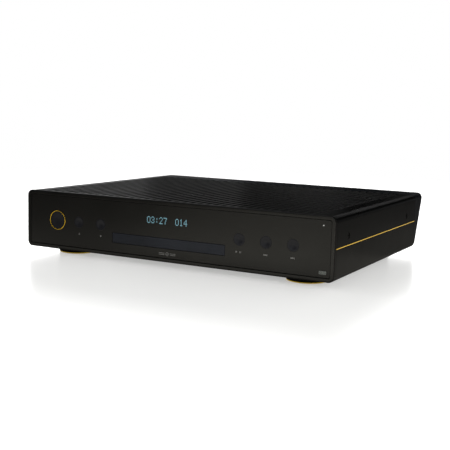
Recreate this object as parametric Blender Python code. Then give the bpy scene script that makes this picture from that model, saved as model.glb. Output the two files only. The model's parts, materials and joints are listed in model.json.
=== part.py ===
"""A full-width hi-fi CD player: case, fascia, disc loader, boards, rear sockets and feet.

Metres, +Z up. The origin is on the table under the middle of the case, and the fascia faces -Y.
Lengths along Y are given from the fascia's front face, and from_front() turns them into world Y.
"""

import math

import bmesh
import bpy
from mathutils import Vector
from mathutils.geometry import tessellate_polygon

# Overall size
WIDTH = 0.431
DEPTH = 0.344
HEIGHT = 0.083
FOOT_HEIGHT = 0.009
GAP = 0.0003

# Fascia
FASCIA_DEPTH = 0.0044
FASCIA_CORNER = 0.007
RIM_WIDTH = 0.0046
PANEL_FRONT = 0.0009
PANEL_BACK = 0.0039
BUTTON_Z = 0.0465
POWER_X = -0.1658
POWER_RING_RADIUS = 0.01225
BUTTON_XS = {"eject": -0.132, "stop": -0.098, "play": 0.098, "skip_back": 0.132, "skip_forward": 0.1655}
BUTTON_RADIUS = 0.0075
BUTTON_FLANGE_FRONT = 0.0046
BUTTON_END = 0.0085
DOOR_HALF_WIDTH = 0.0795
DOOR_BOTTOM = 0.0258
DOOR_TOP = 0.0381
LED_X = 0.201
LED_Z = 0.072
LED_RADIUS = 0.0008

# Cover, hood and base
COVER_INSET = 0.0002
COVER_FRONT = 0.0047
COVER_BACK = 0.3037
COVER_BEND = 0.008
COVER_THICKNESS = 0.0018
COVER_TOP_THICKNESS = 0.003
RIB_PITCH = 0.0108
RIB_COUNT = 37
GROOVE_FRONT = 0.0145
GROOVE_DEPTH = 0.0014
GROOVE_TOP_WIDTH = 0.0064
GROOVE_FLOOR_WIDTH = 0.0044
STRIP_Z = 0.0464
STRIP_HEIGHT = 0.0010
STRIP_BED = 0.0008
SCREW_Z = 0.0573
SCREW_YS = (0.042, 0.265)
SCREW_HEAD_RADIUS = 0.0035
HOOD_FRONT = 0.304
HOOD_LENGTH_TOP = 0.040
HOOD_LENGTH_BOTTOM = 0.005
HOOD_TAPER = 0.0012
PAN_FLOOR_TOP = 0.0105
PAN_FLANGE_TOP = 0.022
VENT_COLUMN_X = 0.096
VENT_ROWS = 8
VENT_START = 0.105
VENT_PITCH = 0.011
VENT_HALF_LENGTH = 0.022
VENT_WIDTH = 0.0035
REAR_PANEL_FRONT = 0.3042
REAR_PANEL_BACK = 0.3054

# Feet
FOOT_X = 0.166
FOOT_YS = {"front": 0.044, "rear": 0.265}
FOOT_TOP_RADIUS = 0.0268
FOOT_RING_RADIUS = 0.0243
FOOT_RING_BOTTOM = 0.0007
FOOT_RING_TOP = 0.0019
FOOT_TREAD_RADIUS = 0.0215

# Disc loader
DISC_Y = 0.075
DISC_RECESS_RADIUS = 0.0605
TRAY_HALF_WIDTH = 0.0675
TRAY_FRONT = 0.0045
TRAY_BACK = 0.190
TRAY_BOTTOM = 0.027
TRAY_TOP = 0.0345
TRAY_RECESS_FLOOR = 0.0299
TRAY_SLOT_HALF = 0.018
TRAY_WALL_X = 0.069
LOADER_WALL = 0.005
LOADER_FLOOR_TOP = 0.014
LOADER_WALL_TOP = 0.046
RACK_MODULE = 0.0015
RACK_PITCH_X = 0.0661
DRIVE_TEETH = 14
DRIVE_Y = 0.038
DRIVE_PULLEY_RADIUS = 0.0074
MOTOR_PULLEY_RADIUS = 0.0026
LOADING_MOTOR_X = 0.104
BELT_THICKNESS = 0.0008

# Laser deck, hinged at its rear on a cross shaft
DECK_PIVOT_Y = 0.186
DECK_PIVOT_Z = 0.02075
DECK_BOTTOM = 0.020
DECK_TOP = 0.0215
ROD_X = 0.021
ROD_Z = 0.0242
ROD_RADIUS = 0.00125
SLED_FRONT = 0.0895
LENS_Y = 0.098
SLED_MODULE = 0.001
SLED_TEETH = 12
SLED_RACK_X = 0.028
SLED_GEAR_Y = 0.118

# Mains module and signal sockets on the rear panel
MODULE_X = -0.150
MODULE_Z = 0.042
ROCKER_X = -0.122
ROCKER_TILT = math.radians(8.0)
SOCKET_XS = {"rca_left": 0.150, "rca_right": 0.126, "coax_jack": 0.080}
SOCKET_Z = 0.042
OPTICAL_X = 0.052

# Colour, roughness and metallic value of each finish
FINISHES = {
    "black_coat": ((0.012, 0.012, 0.011), 0.42, 0.3),
    "panel_black": ((0.016, 0.015, 0.014), 0.5, 0.1),
    "rim_black": ((0.022, 0.021, 0.02), 0.4, 0.3),
    "button_black": ((0.022, 0.022, 0.027), 0.4, 0.2),
    "gold": ((0.52, 0.32, 0.07), 0.28, 1.0),
    "steel": ((0.45, 0.45, 0.46), 0.35, 1.0),
    "zinc_plate": ((0.32, 0.33, 0.34), 0.4, 1.0),
    "black_plastic": ((0.02, 0.02, 0.022), 0.5, 0.0),
    "grey_plastic": ((0.12, 0.12, 0.13), 0.5, 0.0),
    "rubber": ((0.015, 0.015, 0.015), 0.85, 0.0),
    "board_green": ((0.02, 0.09, 0.04), 0.45, 0.0),
    "light_lens": ((0.85, 0.88, 0.9), 0.2, 0.0),
    "copper": ((0.6, 0.3, 0.15), 0.35, 1.0),
    "display_glass": ((0.01, 0.02, 0.03), 0.1, 0.0),
}


def from_front(y):
    return y - DEPTH / 2


def clear_scene():
    for old in list(bpy.data.objects):
        bpy.data.objects.remove(old, do_unlink=True)


def make_material(name, finish):
    colour, roughness, metallic = FINISHES[finish]
    made = bpy.data.materials.new(name)
    made.use_nodes = True
    shader = made.node_tree.nodes["Principled BSDF"]
    shader.inputs["Base Color"].default_value = (*colour, 1.0)
    shader.inputs["Roughness"].default_value = roughness
    shader.inputs["Metallic"].default_value = metallic
    made.diffuse_color = (*colour, 1.0)
    return made


def world_place(obj):
    """Where an object that only has unrotated parents stands."""
    place = Vector(obj.location)
    while obj.parent:
        obj = obj.parent
        place += Vector(obj.location)
    return place


def add_empty(name, place=(0.0, 0.0, 0.0), parent=None):
    empty = bpy.data.objects.new(name, None)
    bpy.context.scene.collection.objects.link(empty)
    empty.parent = parent
    empty.location = Vector(place) - (world_place(parent) if parent else Vector())
    return empty


def add_part(name, bm, finish, parent, pivot=(0.0, 0.0, 0.0), smooth=None):
    """Names a finished skin, with its origin at pivot, and hangs it under its parent empty."""
    bmesh.ops.recalc_face_normals(bm, faces=bm.faces[:])
    bmesh.ops.translate(bm, verts=bm.verts[:], vec=-Vector(pivot))
    mesh = bpy.data.meshes.new(name)
    bm.to_mesh(mesh)
    bm.free()
    if smooth is not None:
        mesh.shade_smooth()
        mesh.set_sharp_from_angle(angle=math.radians(smooth))
    obj = bpy.data.objects.new(name, mesh)
    bpy.context.scene.collection.objects.link(obj)
    obj.parent = parent
    obj.location = Vector(pivot) - world_place(parent)
    mesh.materials.append(make_material(name, finish))
    return obj


def add_boolean(target, operation, bm):
    """Joins a hidden tool body to the target, or cuts it away."""
    name = f"{target.name}_{operation.lower()}_tool"
    bmesh.ops.recalc_face_normals(bm, faces=bm.faces[:])
    mesh = bpy.data.meshes.new(name)
    bm.to_mesh(mesh)
    bm.free()
    tool = bpy.data.objects.new(name, mesh)
    bpy.context.scene.collection.objects.link(tool)
    tool.hide_render = True
    tool.display_type = "WIRE"
    modifier = target.modifiers.new(operation.title(), "BOOLEAN")
    modifier.operation = operation
    modifier.solver = "EXACT"
    modifier.object = tool


def blocks(solids, hollows=(), inlays=()):
    """One skin round boxes (x0, x1, y0, y1, z0, z1): solids, less hollows, plus inlays.

    Y is from the front."""
    everything = (*solids, *hollows, *inlays)
    cuts = [sorted({round(v, 6) for box in everything for v in box[2 * a : 2 * a + 2]}) for a in range(3)]
    counts = [len(cut) - 1 for cut in cuts]

    def holds(boxes, middle):
        return any(all(box[2 * a] < middle[a] < box[2 * a + 1] for a in range(3)) for box in boxes)

    def is_solid(cell):
        if not all(0 <= cell[a] < counts[a] for a in range(3)):
            return False
        middle = [(cuts[a][cell[a]] + cuts[a][cell[a] + 1]) / 2 for a in range(3)]
        return holds(inlays, middle) or (holds(solids, middle) and not holds(hollows, middle))

    bm = bmesh.new()
    corners = {}

    def corner(index):
        if index not in corners:
            x, y, z = (cuts[a][index[a]] for a in range(3))
            corners[index] = bm.verts.new((x, from_front(y), z))
        return corners[index]

    cells = [(i, j, k) for i in range(counts[0]) for j in range(counts[1]) for k in range(counts[2])]
    for cell in filter(is_solid, cells):
        for axis in range(3):
            for side in (0, 1):
                neighbour = list(cell)
                neighbour[axis] += 2 * side - 1
                if is_solid(tuple(neighbour)):
                    continue
                u, v = (axis + 1) % 3, (axis + 2) % 3
                ring = []
                for du, dv in ((0, 0), (1, 0), (1, 1), (0, 1)):
                    index = list(cell)
                    index[axis] += side
                    index[u] += du
                    index[v] += dv
                    ring.append(corner(tuple(index)))
                bm.faces.new(ring if side else ring[::-1])
    bm.normal_update()
    bmesh.ops.dissolve_limit(bm, angle_limit=0.01, verts=bm.verts[:], edges=bm.edges[:])
    return bm


def circle(radius, centre=(0.0, 0.0), steps=24):
    turns = [2 * math.pi * k / steps for k in range(steps)]
    return [(centre[0] + radius * math.cos(t), centre[1] + radius * math.sin(t)) for t in turns]


def rounded_rectangle(half_a, half_b, radius, centre=(0.0, 0.0), arc_steps=4):
    """Outline of a rectangle with round corners, anticlockwise."""
    points = []
    for quarter, (side_a, side_b) in enumerate(((1, 1), (-1, 1), (-1, -1), (1, -1))):
        middle_a = centre[0] + side_a * (half_a - radius)
        middle_b = centre[1] + side_b * (half_b - radius)
        for step in range(arc_steps + 1):
            turn = math.pi / 2 * (quarter + step / arc_steps)
            points.append((middle_a + radius * math.cos(turn), middle_b + radius * math.sin(turn)))
    return points


def prism(outline, low, high, axis="Z", holes=(), bm=None):
    """An outline, less its holes, pulled along an axis. Its plane is XY, XZ or YZ."""
    bm = bm or bmesh.new()

    def place(a, b):
        return {"Z": (a, b, low), "Y": (a, low, b), "X": (low, a, b)}[axis]

    rings = [[Vector(place(a, b)) for a, b in ring] for ring in (outline, *holes)]
    corners = [bm.verts.new(point) for ring in rings for point in ring]
    base = [bm.faces.new([corners[i] for i in tri]) for tri in tessellate_polygon(rings)]
    made = bmesh.ops.extrude_face_region(bm, geom=base)
    pull = Vector(place(0.0, 0.0)) * 0.0
    pull["XYZ".index(axis)] = high - low
    bmesh.ops.translate(bm, verts=[v for v in made["geom"] if isinstance(v, bmesh.types.BMVert)], vec=pull)
    return bm


def turned(profile, centre, axis="Z", steps=32, ring=False):
    """A profile of (radius, height) points turned about an axis through centre. A ring's profile closes."""
    bm = bmesh.new()

    def place(radius, height, turn):
        a, b = radius * math.cos(turn), radius * math.sin(turn)
        offset = {"Z": (a, b, height), "Y": (a, height, b), "X": (height, a, b)}[axis]
        return Vector(centre) + Vector(offset)

    loops = []
    for radius, height in profile:
        if radius == 0.0:
            loops.append([bm.verts.new(place(0.0, height, 0.0))] * steps)
        else:
            turns = (2 * math.pi * k / steps for k in range(steps))
            loops.append([bm.verts.new(place(radius, height, turn)) for turn in turns])
    pairs = list(zip(loops, loops[1:]))
    if ring:
        pairs.append((loops[-1], loops[0]))
    for lower, upper in pairs:
        for k in range(steps):
            after = (k + 1) % steps
            quad = [lower[k], lower[after], upper[after], upper[k]]
            bm.faces.new(list(dict.fromkeys(quad)))
    return bm


def skin(loops, closed=False):
    """Faces between loops of equally many points, with capped ends unless the loops are closed."""
    bm = bmesh.new()
    rows = [[bm.verts.new(point) for point in loop] for loop in loops]
    pairs = list(zip(rows, rows[1:]))
    if closed:
        pairs.append((rows[-1], rows[0]))
    else:
        bm.faces.new(rows[0])
        bm.faces.new(rows[-1])
    for lower, upper in pairs:
        for k in range(len(lower)):
            after = (k + 1) % len(lower)
            bm.faces.new([lower[k], lower[after], upper[after], upper[k]])
    return bm


def tooth_points(module):
    """(offset from the tooth's middle, height over the pitch line) of one straight-flanked tooth."""
    pitch = math.pi * module
    root, tip = -0.95 * module, 0.75 * module
    return ((-0.32 * pitch, root), (-0.11 * pitch, tip), (0.11 * pitch, tip), (0.32 * pitch, root))


def gear_outline(module, teeth, centre):
    pitch_radius = module * teeth / 2
    points = []
    for tooth in range(teeth):
        for offset, height in tooth_points(module):
            turn = 2 * math.pi * tooth / teeth + offset / pitch_radius
            radius = pitch_radius + height
            points.append((centre[0] + radius * math.cos(turn), centre[1] + radius * math.sin(turn)))
    return points


def rack_outline(module, pitch_x, gap_y, low_y, high_y, back_x):
    """A rack with teeth towards +X and a tooth gap centred on gap_y, closed by a straight back."""
    pitch = math.pi * module
    first = math.ceil((low_y + pitch / 2 - gap_y) / pitch - 0.5)
    points = [(back_x, low_y), (pitch_x - 0.95 * module, low_y)]
    tooth = first
    while gap_y + (tooth + 1.0) * pitch < high_y:
        middle = gap_y + (tooth + 0.5) * pitch
        points += [(pitch_x + height, middle + offset) for offset, height in tooth_points(module)]
        tooth += 1
    return [*points, (pitch_x - 0.95 * module, high_y), (back_x, high_y)]


def cover_side(half_width, top, bottom, bend, arc_steps, strip_bed):
    """Right-hand half of a U section, from its foot up to the start of the flat top."""
    points = [(half_width, bottom)]
    if strip_bed:
        reach = STRIP_HEIGHT / 2 + GAP / 2
        for x, z in ((0.0, -reach), (-strip_bed, -reach), (-strip_bed, reach), (0.0, reach)):
            points.append((half_width + x, STRIP_Z + z))
    for step in range(arc_steps + 1):
        turn = math.pi / 2 * step / arc_steps
        points.append((half_width - bend * (1 - math.cos(turn)), top - bend * (1 - math.sin(turn))))
    return points


def u_section(strip_bed=0.0, inset=COVER_INSET, wall=COVER_THICKNESS, roof=COVER_TOP_THICKNESS):
    """Outline of the case's inverted U: up the right side, over the top, down the left, and back inside."""
    half, top = WIDTH / 2 - inset, HEIGHT - inset
    outer = cover_side(half, top, FOOT_HEIGHT, COVER_BEND, 6, strip_bed)
    inner = cover_side(half - wall, top - roof, FOOT_HEIGHT, COVER_BEND - wall, 6, 0.0)
    mirrored = [(-x, z) for x, z in reversed(outer)]
    return [*outer, *mirrored, *[(-x, z) for x, z in inner], *reversed(inner)]


def make_cover(root):
    bm = prism(u_section(STRIP_BED), from_front(COVER_FRONT), from_front(COVER_BACK), "Y")
    cover = add_part("top_cover", bm, "black_coat", root, smooth=30)
    top = HEIGHT - COVER_INSET
    grooves = bmesh.new()
    for k in range(RIB_COUNT - 1):
        middle = (k + 0.5 - (RIB_COUNT - 1) / 2) * RIB_PITCH
        above = 0.001
        widen = (GROOVE_TOP_WIDTH - GROOVE_FLOOR_WIDTH) / 2 * above / GROOVE_DEPTH
        wide, narrow = GROOVE_TOP_WIDTH / 2 + widen, GROOVE_FLOOR_WIDTH / 2
        floor = top - GROOVE_DEPTH
        section = [(middle - narrow, floor), (middle + narrow, floor)]
        section += [(middle + wide, top + above), (middle - wide, top + above)]
        prism(section, from_front(GROOVE_FRONT), from_front(COVER_BACK) + above, "Y", bm=grooves)
    add_boolean(cover, "DIFFERENCE", grooves)
    holes = bmesh.new()
    for y in SCREW_YS:
        hole = circle(SCREW_HEAD_RADIUS + GAP, (from_front(y), SCREW_Z), 12)
        prism(hole, -WIDTH, WIDTH, "X", bm=holes)
    add_boolean(cover, "DIFFERENCE", holes)
    for side, sign in (("left", -1), ("right", 1)):
        inner = WIDTH / 2 - COVER_INSET - STRIP_BED + GAP
        ends = sorted((sign * inner, sign * (WIDTH / 2)))
        levels = (STRIP_Z - STRIP_HEIGHT / 2, STRIP_Z + STRIP_HEIGHT / 2)
        box = (*ends, COVER_FRONT + GAP, COVER_BACK - GAP, *levels)
        add_part(f"side_strip_{side}", blocks([box]), "gold", root)
        for place, y in zip(("front", "rear"), SCREW_YS):
            outer = WIDTH / 2 - COVER_INSET - GAP
            head = SCREW_HEAD_RADIUS
            profile = [(0.0, outer - 0.006), (0.0015, outer - 0.006), (0.0015, outer - 0.0022)]
            profile += [(head, outer - 0.0022), (head, outer), (0.0012, outer), (0.0, outer - 0.0012)]
            screw = turned([(r, sign * h) for r, h in profile], (0.0, from_front(y), SCREW_Z), "X", 12)
            add_part(f"cover_screw_{place}_{side}", screw, "steel", root, smooth=30)


def make_hood(root):
    """The rear end of the case: the U section again, cut off aslant so that its sides taper downwards."""
    section = u_section()
    slope = (HOOD_LENGTH_TOP - HOOD_LENGTH_BOTTOM) / (HEIGHT - COVER_INSET - FOOT_HEIGHT)
    front = [Vector((x, from_front(HOOD_FRONT), z)) for x, z in section]
    back = []
    for x, z in section:
        length = HOOD_LENGTH_BOTTOM + slope * (z - FOOT_HEIGHT)
        narrow = 1 - HOOD_TAPER / (WIDTH / 2) * length / HOOD_LENGTH_TOP
        back.append(Vector((x * narrow, from_front(HOOD_FRONT + length), z)))
    bm = skin([front, back])
    bmesh.ops.triangulate(bm, faces=bm.faces[:])
    add_part("rear_hood", bm, "black_coat", root, smooth=30)


def make_base(root):
    half = WIDTH / 2 - COVER_INSET - COVER_THICKNESS - GAP
    front, back, bottom = 0.0078, 0.3032, FOOT_HEIGHT + GAP
    sheet = PAN_FLOOR_TOP - bottom
    solids = [
        (-half, half, front, back, bottom, PAN_FLOOR_TOP),
        (-half, -half + sheet, front, back, bottom, PAN_FLANGE_TOP),
        (half - sheet, half, front, back, bottom, PAN_FLANGE_TOP),
    ]
    slots = []
    for column in (-VENT_COLUMN_X, VENT_COLUMN_X):
        for row in range(VENT_ROWS):
            y = VENT_START + VENT_PITCH * row
            ends = (column - VENT_HALF_LENGTH, column + VENT_HALF_LENGTH)
            slots.append((*ends, y, y + VENT_WIDTH, 0.0, 2 * PAN_FLOOR_TOP))
    add_part("base_pan", blocks(solids, slots), "zinc_plate", root)
    for end, y in FOOT_YS.items():
        for side, sign in (("left", -1), ("right", 1)):
            centre = (sign * FOOT_X, from_front(y), 0.0)
            make_foot(f"{end}_{side}", centre, root)


def make_foot(place, centre, root):
    """A round foot that widens upwards, with a gilt band let into its lower edge."""
    bed = FOOT_RING_RADIUS - 0.0012
    foot = [(0.0, 0.0), (FOOT_TREAD_RADIUS, 0.0), (bed, FOOT_RING_BOTTOM - 0.0001)]
    foot += [(bed, FOOT_RING_TOP + GAP), (FOOT_RING_RADIUS + 0.0004, FOOT_RING_TOP + 0.0005)]
    foot += [(FOOT_TOP_RADIUS, FOOT_HEIGHT), (0.0, FOOT_HEIGHT)]
    add_part(f"foot_{place}", turned(foot, centre, steps=24), "rubber", root, smooth=30)
    band = [(bed + GAP, FOOT_RING_BOTTOM), (FOOT_RING_RADIUS, FOOT_RING_BOTTOM)]
    band += [(FOOT_RING_RADIUS, FOOT_RING_TOP), (bed + GAP, FOOT_RING_TOP)]
    add_part(f"foot_ring_{place}", turned(band, centre, steps=24, ring=True), "gold", root, smooth=30)


def make_fascia(root):
    profile = [
        (0.0, 0.0012), (0.00035, 0.00035), (0.0012, 0.0), (RIM_WIDTH - 0.0006, 0.0),
        (RIM_WIDTH, 0.0005), (RIM_WIDTH, PANEL_BACK + GAP), (RIM_WIDTH + 0.005, PANEL_BACK + GAP),
        (RIM_WIDTH + 0.005, 0.007), (0.0040, 0.007), (0.0040, FASCIA_DEPTH), (0.0, FASCIA_DEPTH),
    ]
    half_height = (HEIGHT - FOOT_HEIGHT) / 2
    middle_z = FOOT_HEIGHT + half_height
    loops = []
    for inset, y in profile:
        corner = max(FASCIA_CORNER - inset, 0.0015)
        outline = rounded_rectangle(WIDTH / 2 - inset, half_height - inset, corner, (0.0, middle_z))
        loops.append([(x, from_front(y), z) for x, z in outline])
    add_part("fascia_frame", skin(loops, closed=True), "rim_black", root, smooth=30)

    inset = RIM_WIDTH + 0.0005
    outline = rounded_rectangle(WIDTH / 2 - inset, half_height - inset, 0.0022, (0.0, middle_z))
    door_middle = (DOOR_BOTTOM + DOOR_TOP) / 2
    slot_half_height = (DOOR_TOP - DOOR_BOTTOM) / 2 + 0.0004
    holes = [rounded_rectangle(DOOR_HALF_WIDTH + 0.0004, slot_half_height, 0.0006, (0.0, door_middle), 2)]
    holes.append(circle(POWER_RING_RADIUS + GAP, (POWER_X, BUTTON_Z), 28))
    holes += [circle(BUTTON_RADIUS + GAP, (x, BUTTON_Z), 20) for x in BUTTON_XS.values()]
    holes.append(circle(LED_RADIUS + GAP, (LED_X, LED_Z), 8))
    bm = prism(outline, from_front(PANEL_FRONT), from_front(PANEL_BACK), "Y", holes)
    add_part("fascia_panel", bm, "panel_black", root)

    inner = POWER_RING_RADIUS - 0.001
    centre = (POWER_X, from_front(0.0), BUTTON_Z)
    band = [(inner, PANEL_BACK), (inner, 0.0003)]
    band += [(POWER_RING_RADIUS, 0.0003), (POWER_RING_RADIUS, PANEL_BACK)]
    add_part("power_ring", turned(band, centre, "Y", 28, ring=True), "gold", root, smooth=30)

    lens = [(0.0, 0.0006), (LED_RADIUS, 0.0008), (LED_RADIUS, PANEL_BACK + GAP), (0.0, PANEL_BACK + GAP)]
    led = turned(lens, (LED_X, from_front(0.0), LED_Z), "Y", 8)
    add_part("status_led", led, "light_lens", root, smooth=30)
    badge = rounded_rectangle(0.0044, 0.0019, 0.0006, (0.202, 0.0197), 2)
    bm = prism(badge, from_front(0.0002), from_front(0.0006), "Y")
    add_part("badge_plate", bm, "steel", root)


def make_button(name, x, radius, dish, root):
    """A round button with a dished face, a flange behind the panel and a stem towards its switch."""
    arc = [(radius * step / 3, PANEL_FRONT + dish * (1 - (step / 3) ** 2)) for step in range(4)]
    flange = radius + 0.0011
    body = [(radius, BUTTON_FLANGE_FRONT), (flange, BUTTON_FLANGE_FRONT)]
    stem = [(0.002, BUTTON_FLANGE_FRONT + 0.001), (0.002, BUTTON_END), (0.0, BUTTON_END)]
    pivot = (x, from_front(0.0), BUTTON_Z)
    bm = turned([*arc, *body, *stem], pivot, "Y", 20)
    add_part(name, bm, "button_black", root, pivot, smooth=30)


def make_buttons(root):
    make_button("power_button", POWER_X, POWER_RING_RADIUS - 0.001 - GAP, 0.0012, root)
    for name, x in BUTTON_XS.items():
        make_button(f"{name}_button", x, BUTTON_RADIUS, 0.0014, root)


def make_electronics(root):
    board_front, board_back = 0.0130, 0.0146
    solids = [
        (-0.200, 0.200, board_front, board_back, 0.0410, 0.0720),
        (-0.200, -0.125, board_front, board_back, 0.0200, 0.0720),
        (0.125, 0.200, board_front, board_back, 0.0200, 0.0720),
    ]
    key_half = 0.003
    for x in (POWER_X, *BUTTON_XS.values()):
        levels = (BUTTON_Z - key_half, BUTTON_Z + key_half)
        solids.append((x - key_half, x + key_half, BUTTON_END + 0.0013, board_front, *levels))
    add_part("front_board", blocks(solids), "board_green", root)
    display = [(-0.060, 0.060, 0.0045, 0.0110, 0.0520, 0.0690)]
    add_part("display_module", blocks(display), "display_glass", root)

    board = (0.0160, 0.0176)
    solids = [(-0.085, 0.205, 0.212, 0.296, *board)]
    for x, y, width, depth, height in (
        (0.000, 0.240, 0.020, 0.020, 0.003), (0.045, 0.228, 0.012, 0.016, 0.004),
        (0.090, 0.250, 0.016, 0.016, 0.003), (-0.045, 0.262, 0.014, 0.014, 0.012),
        (0.135, 0.225, 0.010, 0.010, 0.011), (0.165, 0.255, 0.018, 0.009, 0.005),
    ):
        solids.append((x, x + width, y, y + depth, board[0], board[1] + height))
    add_part("main_board", blocks(solids), "board_green", root)

    solids = [(-0.205, -0.098, 0.178, 0.284, *board)]
    for x, y, width, depth, height in (
        (-0.195, 0.190, 0.004, 0.060, 0.026), (-0.180, 0.200, 0.018, 0.018, 0.024),
        (-0.150, 0.200, 0.018, 0.018, 0.024), (-0.122, 0.196, 0.014, 0.022, 0.010),
        (-0.180, 0.235, 0.026, 0.020, 0.008),
    ):
        solids.append((x, x + width, y, y + depth, board[0], board[1] + height))
    add_part("power_board", blocks(solids), "board_green", root)

    core = [
        (-0.188, -0.118, 0.096, 0.152, 0.012, 0.022), (-0.188, -0.118, 0.096, 0.152, 0.046, 0.056),
        (-0.188, -0.176, 0.096, 0.152, 0.012, 0.056), (-0.130, -0.118, 0.096, 0.152, 0.012, 0.056),
    ]
    winding = [(-0.176, -0.130, 0.086, 0.162, 0.022, 0.046)]
    add_part("transformer", blocks(core + winding), "copper", root)


def make_rear(root):
    half = WIDTH / 2 - COVER_INSET - COVER_THICKNESS - GAP
    low, high = FOOT_HEIGHT + 0.0018, HEIGHT - COVER_INSET - COVER_TOP_THICKNESS - GAP
    middle = (0.0, (high + low) / 2)
    outline = rounded_rectangle(half, (high - low) / 2, COVER_BEND - COVER_THICKNESS, middle, 3)
    body_half_x, body_half_z = 0.0345, 0.0130
    sharp = 0.0001
    holes = [rounded_rectangle(body_half_x + GAP, body_half_z + GAP, sharp, (MODULE_X, MODULE_Z), 1)]
    holes += [circle(0.0050, (x, SOCKET_Z), 16) for x in SOCKET_XS.values()]
    holes.append(rounded_rectangle(0.0052, 0.0057, sharp, (OPTICAL_X, SOCKET_Z), 1))
    bm = prism(outline, from_front(REAR_PANEL_FRONT), from_front(REAR_PANEL_BACK), "Y", holes)
    add_part("rear_panel", bm, "black_coat", root)

    flange_ends = (MODULE_X - 0.038, MODULE_X + 0.038)
    flange = (*flange_ends, REAR_PANEL_BACK + GAP, 0.3077, MODULE_Z - 0.016, MODULE_Z + 0.016)
    body_ends = (MODULE_X - body_half_x, MODULE_X + body_half_x)
    body = (*body_ends, 0.285, 0.3060, MODULE_Z - body_half_z, MODULE_Z + body_half_z)
    inlet_x = MODULE_X - 0.014
    cavity = (inlet_x - 0.0125, inlet_x + 0.0125, 0.290, 0.31, MODULE_Z - 0.0085, MODULE_Z + 0.0085)
    bay_ends = (ROCKER_X - 0.0065, ROCKER_X + 0.0065)
    rocker_bay = (*bay_ends, 0.292, 0.31, MODULE_Z - 0.0112, MODULE_Z + 0.0112)
    pins = []
    for pin_x, pin_z in ((-0.007, -0.0015), (0.0, 0.0025), (0.007, -0.0015)):
        x, z = inlet_x + pin_x, MODULE_Z + pin_z
        pins.append((x - 0.001, x + 0.001, 0.288, 0.3045, z - 0.002, z + 0.002))
    add_part("mains_inlet", blocks([flange, body], [cavity, rocker_bay], pins), "black_plastic", root)

    pivot = (ROCKER_X, from_front(0.3035), MODULE_Z)
    radius = 0.0104
    outline = [(0.0030, -radius * 0.96), (0.0012, 0.0), (0.0030, radius * 0.96)]
    for step in range(9):
        turn = math.pi * (0.5 + step / 8)
        reach = radius - 0.0004
        outline.append((reach * 0.9 * math.cos(turn), reach * math.sin(turn)))
    bm = prism(outline, -0.0060, 0.0060, "X")
    bmesh.ops.translate(bm, verts=bm.verts[:], vec=pivot)
    rocker = add_part("mains_rocker", bm, "black_plastic", root, pivot)
    rocker.rotation_euler.x = -ROCKER_TILT

    back = REAR_PANEL_BACK + GAP
    profile = [(0.0, 0.296), (0.0046, 0.296), (0.0046, back), (0.0066, back), (0.0066, back + 0.0014)]
    profile += [(0.0042, back + 0.0014), (0.0042, 0.3156), (0.0017, 0.3156), (0.0017, 0.307)]
    profile.append((0.0, 0.307))
    for name, x in SOCKET_XS.items():
        socket = turned(profile, (x, from_front(0.0), SOCKET_Z), "Y", 16)
        add_part(name, socket, "gold", root, smooth=30)
    half_x, half_z = 0.0049, 0.0054
    shell = (OPTICAL_X - half_x, OPTICAL_X + half_x, 0.294, 0.3085, SOCKET_Z - half_z, SOCKET_Z + half_z)
    well = (OPTICAL_X - 0.003, OPTICAL_X + 0.003, 0.300, 0.31, SOCKET_Z - 0.003, SOCKET_Z + 0.003)
    add_part("optical_port", blocks([shell], [well]), "black_plastic", root)


def make_loader(root):
    wall, bottom = LOADER_WALL, 0.012
    ledge = (0.0245, TRAY_BOTTOM - 0.0004)
    left, right, back = -TRAY_WALL_X - wall, TRAY_WALL_X + wall, 0.205
    solids = [
        (left, left + wall, 0.016, back, bottom, LOADER_WALL_TOP),
        (right - wall, right, 0.062, back, bottom, LOADER_WALL_TOP),
        (left, right, back - wall, back, bottom, LOADER_WALL_TOP),
        (left, LOADING_MOTOR_X + 0.014, 0.016, 0.054, bottom, LOADER_FLOOR_TOP),
        (left, -TRAY_WALL_X + wall, 0.016, back, *ledge),
        (TRAY_WALL_X - wall, right, 0.062, back, *ledge),
        (TRAY_WALL_X - wall, TRAY_WALL_X, 0.016, 0.062, *ledge),
        (TRAY_WALL_X - wall, TRAY_WALL_X, 0.016, 0.022, bottom, ledge[1]),
    ]
    reach = 0.002
    bearing = (DECK_PIVOT_Y - reach, DECK_PIVOT_Y + reach, DECK_PIVOT_Z - reach, DECK_PIVOT_Z + reach)
    frame = add_part("loader_frame", blocks(solids, [(left, right, *bearing)]), "black_plastic", root)
    drive_x = RACK_PITCH_X + RACK_MODULE * DRIVE_TEETH / 2
    post = [(0.0, 0.013), (0.002, 0.013), (0.002, 0.038), (0.0, 0.038)]
    add_boolean(frame, "UNION", turned(post, (drive_x, from_front(DRIVE_Y), 0.0), steps=16))

    y = from_front(DISC_Y)
    bridge = rounded_rectangle(right, 0.015, 0.003, (0.0, y), 3)
    bm = prism(bridge, LOADER_WALL_TOP + GAP, LOADER_WALL_TOP + 0.002, "Z", [circle(0.008, (0.0, y), 24)])
    add_part("clamp_bridge", bm, "zinc_plate", root)
    puck = [(0.0, 0.0377), (0.0082, 0.0377), (0.0082, 0.0352), (0.015, 0.0352), (0.015, 0.038)]
    puck += [(0.0065, 0.039), (0.0065, 0.0493), (0.010, 0.0493), (0.010, 0.0508), (0.0, 0.0508)]
    pivot = (0.0, y, 0.0352)
    add_part("clamp_puck", turned(puck, (0.0, y, 0.0), steps=20), "grey_plastic", root, pivot, smooth=30)

    return drive_x


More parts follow.
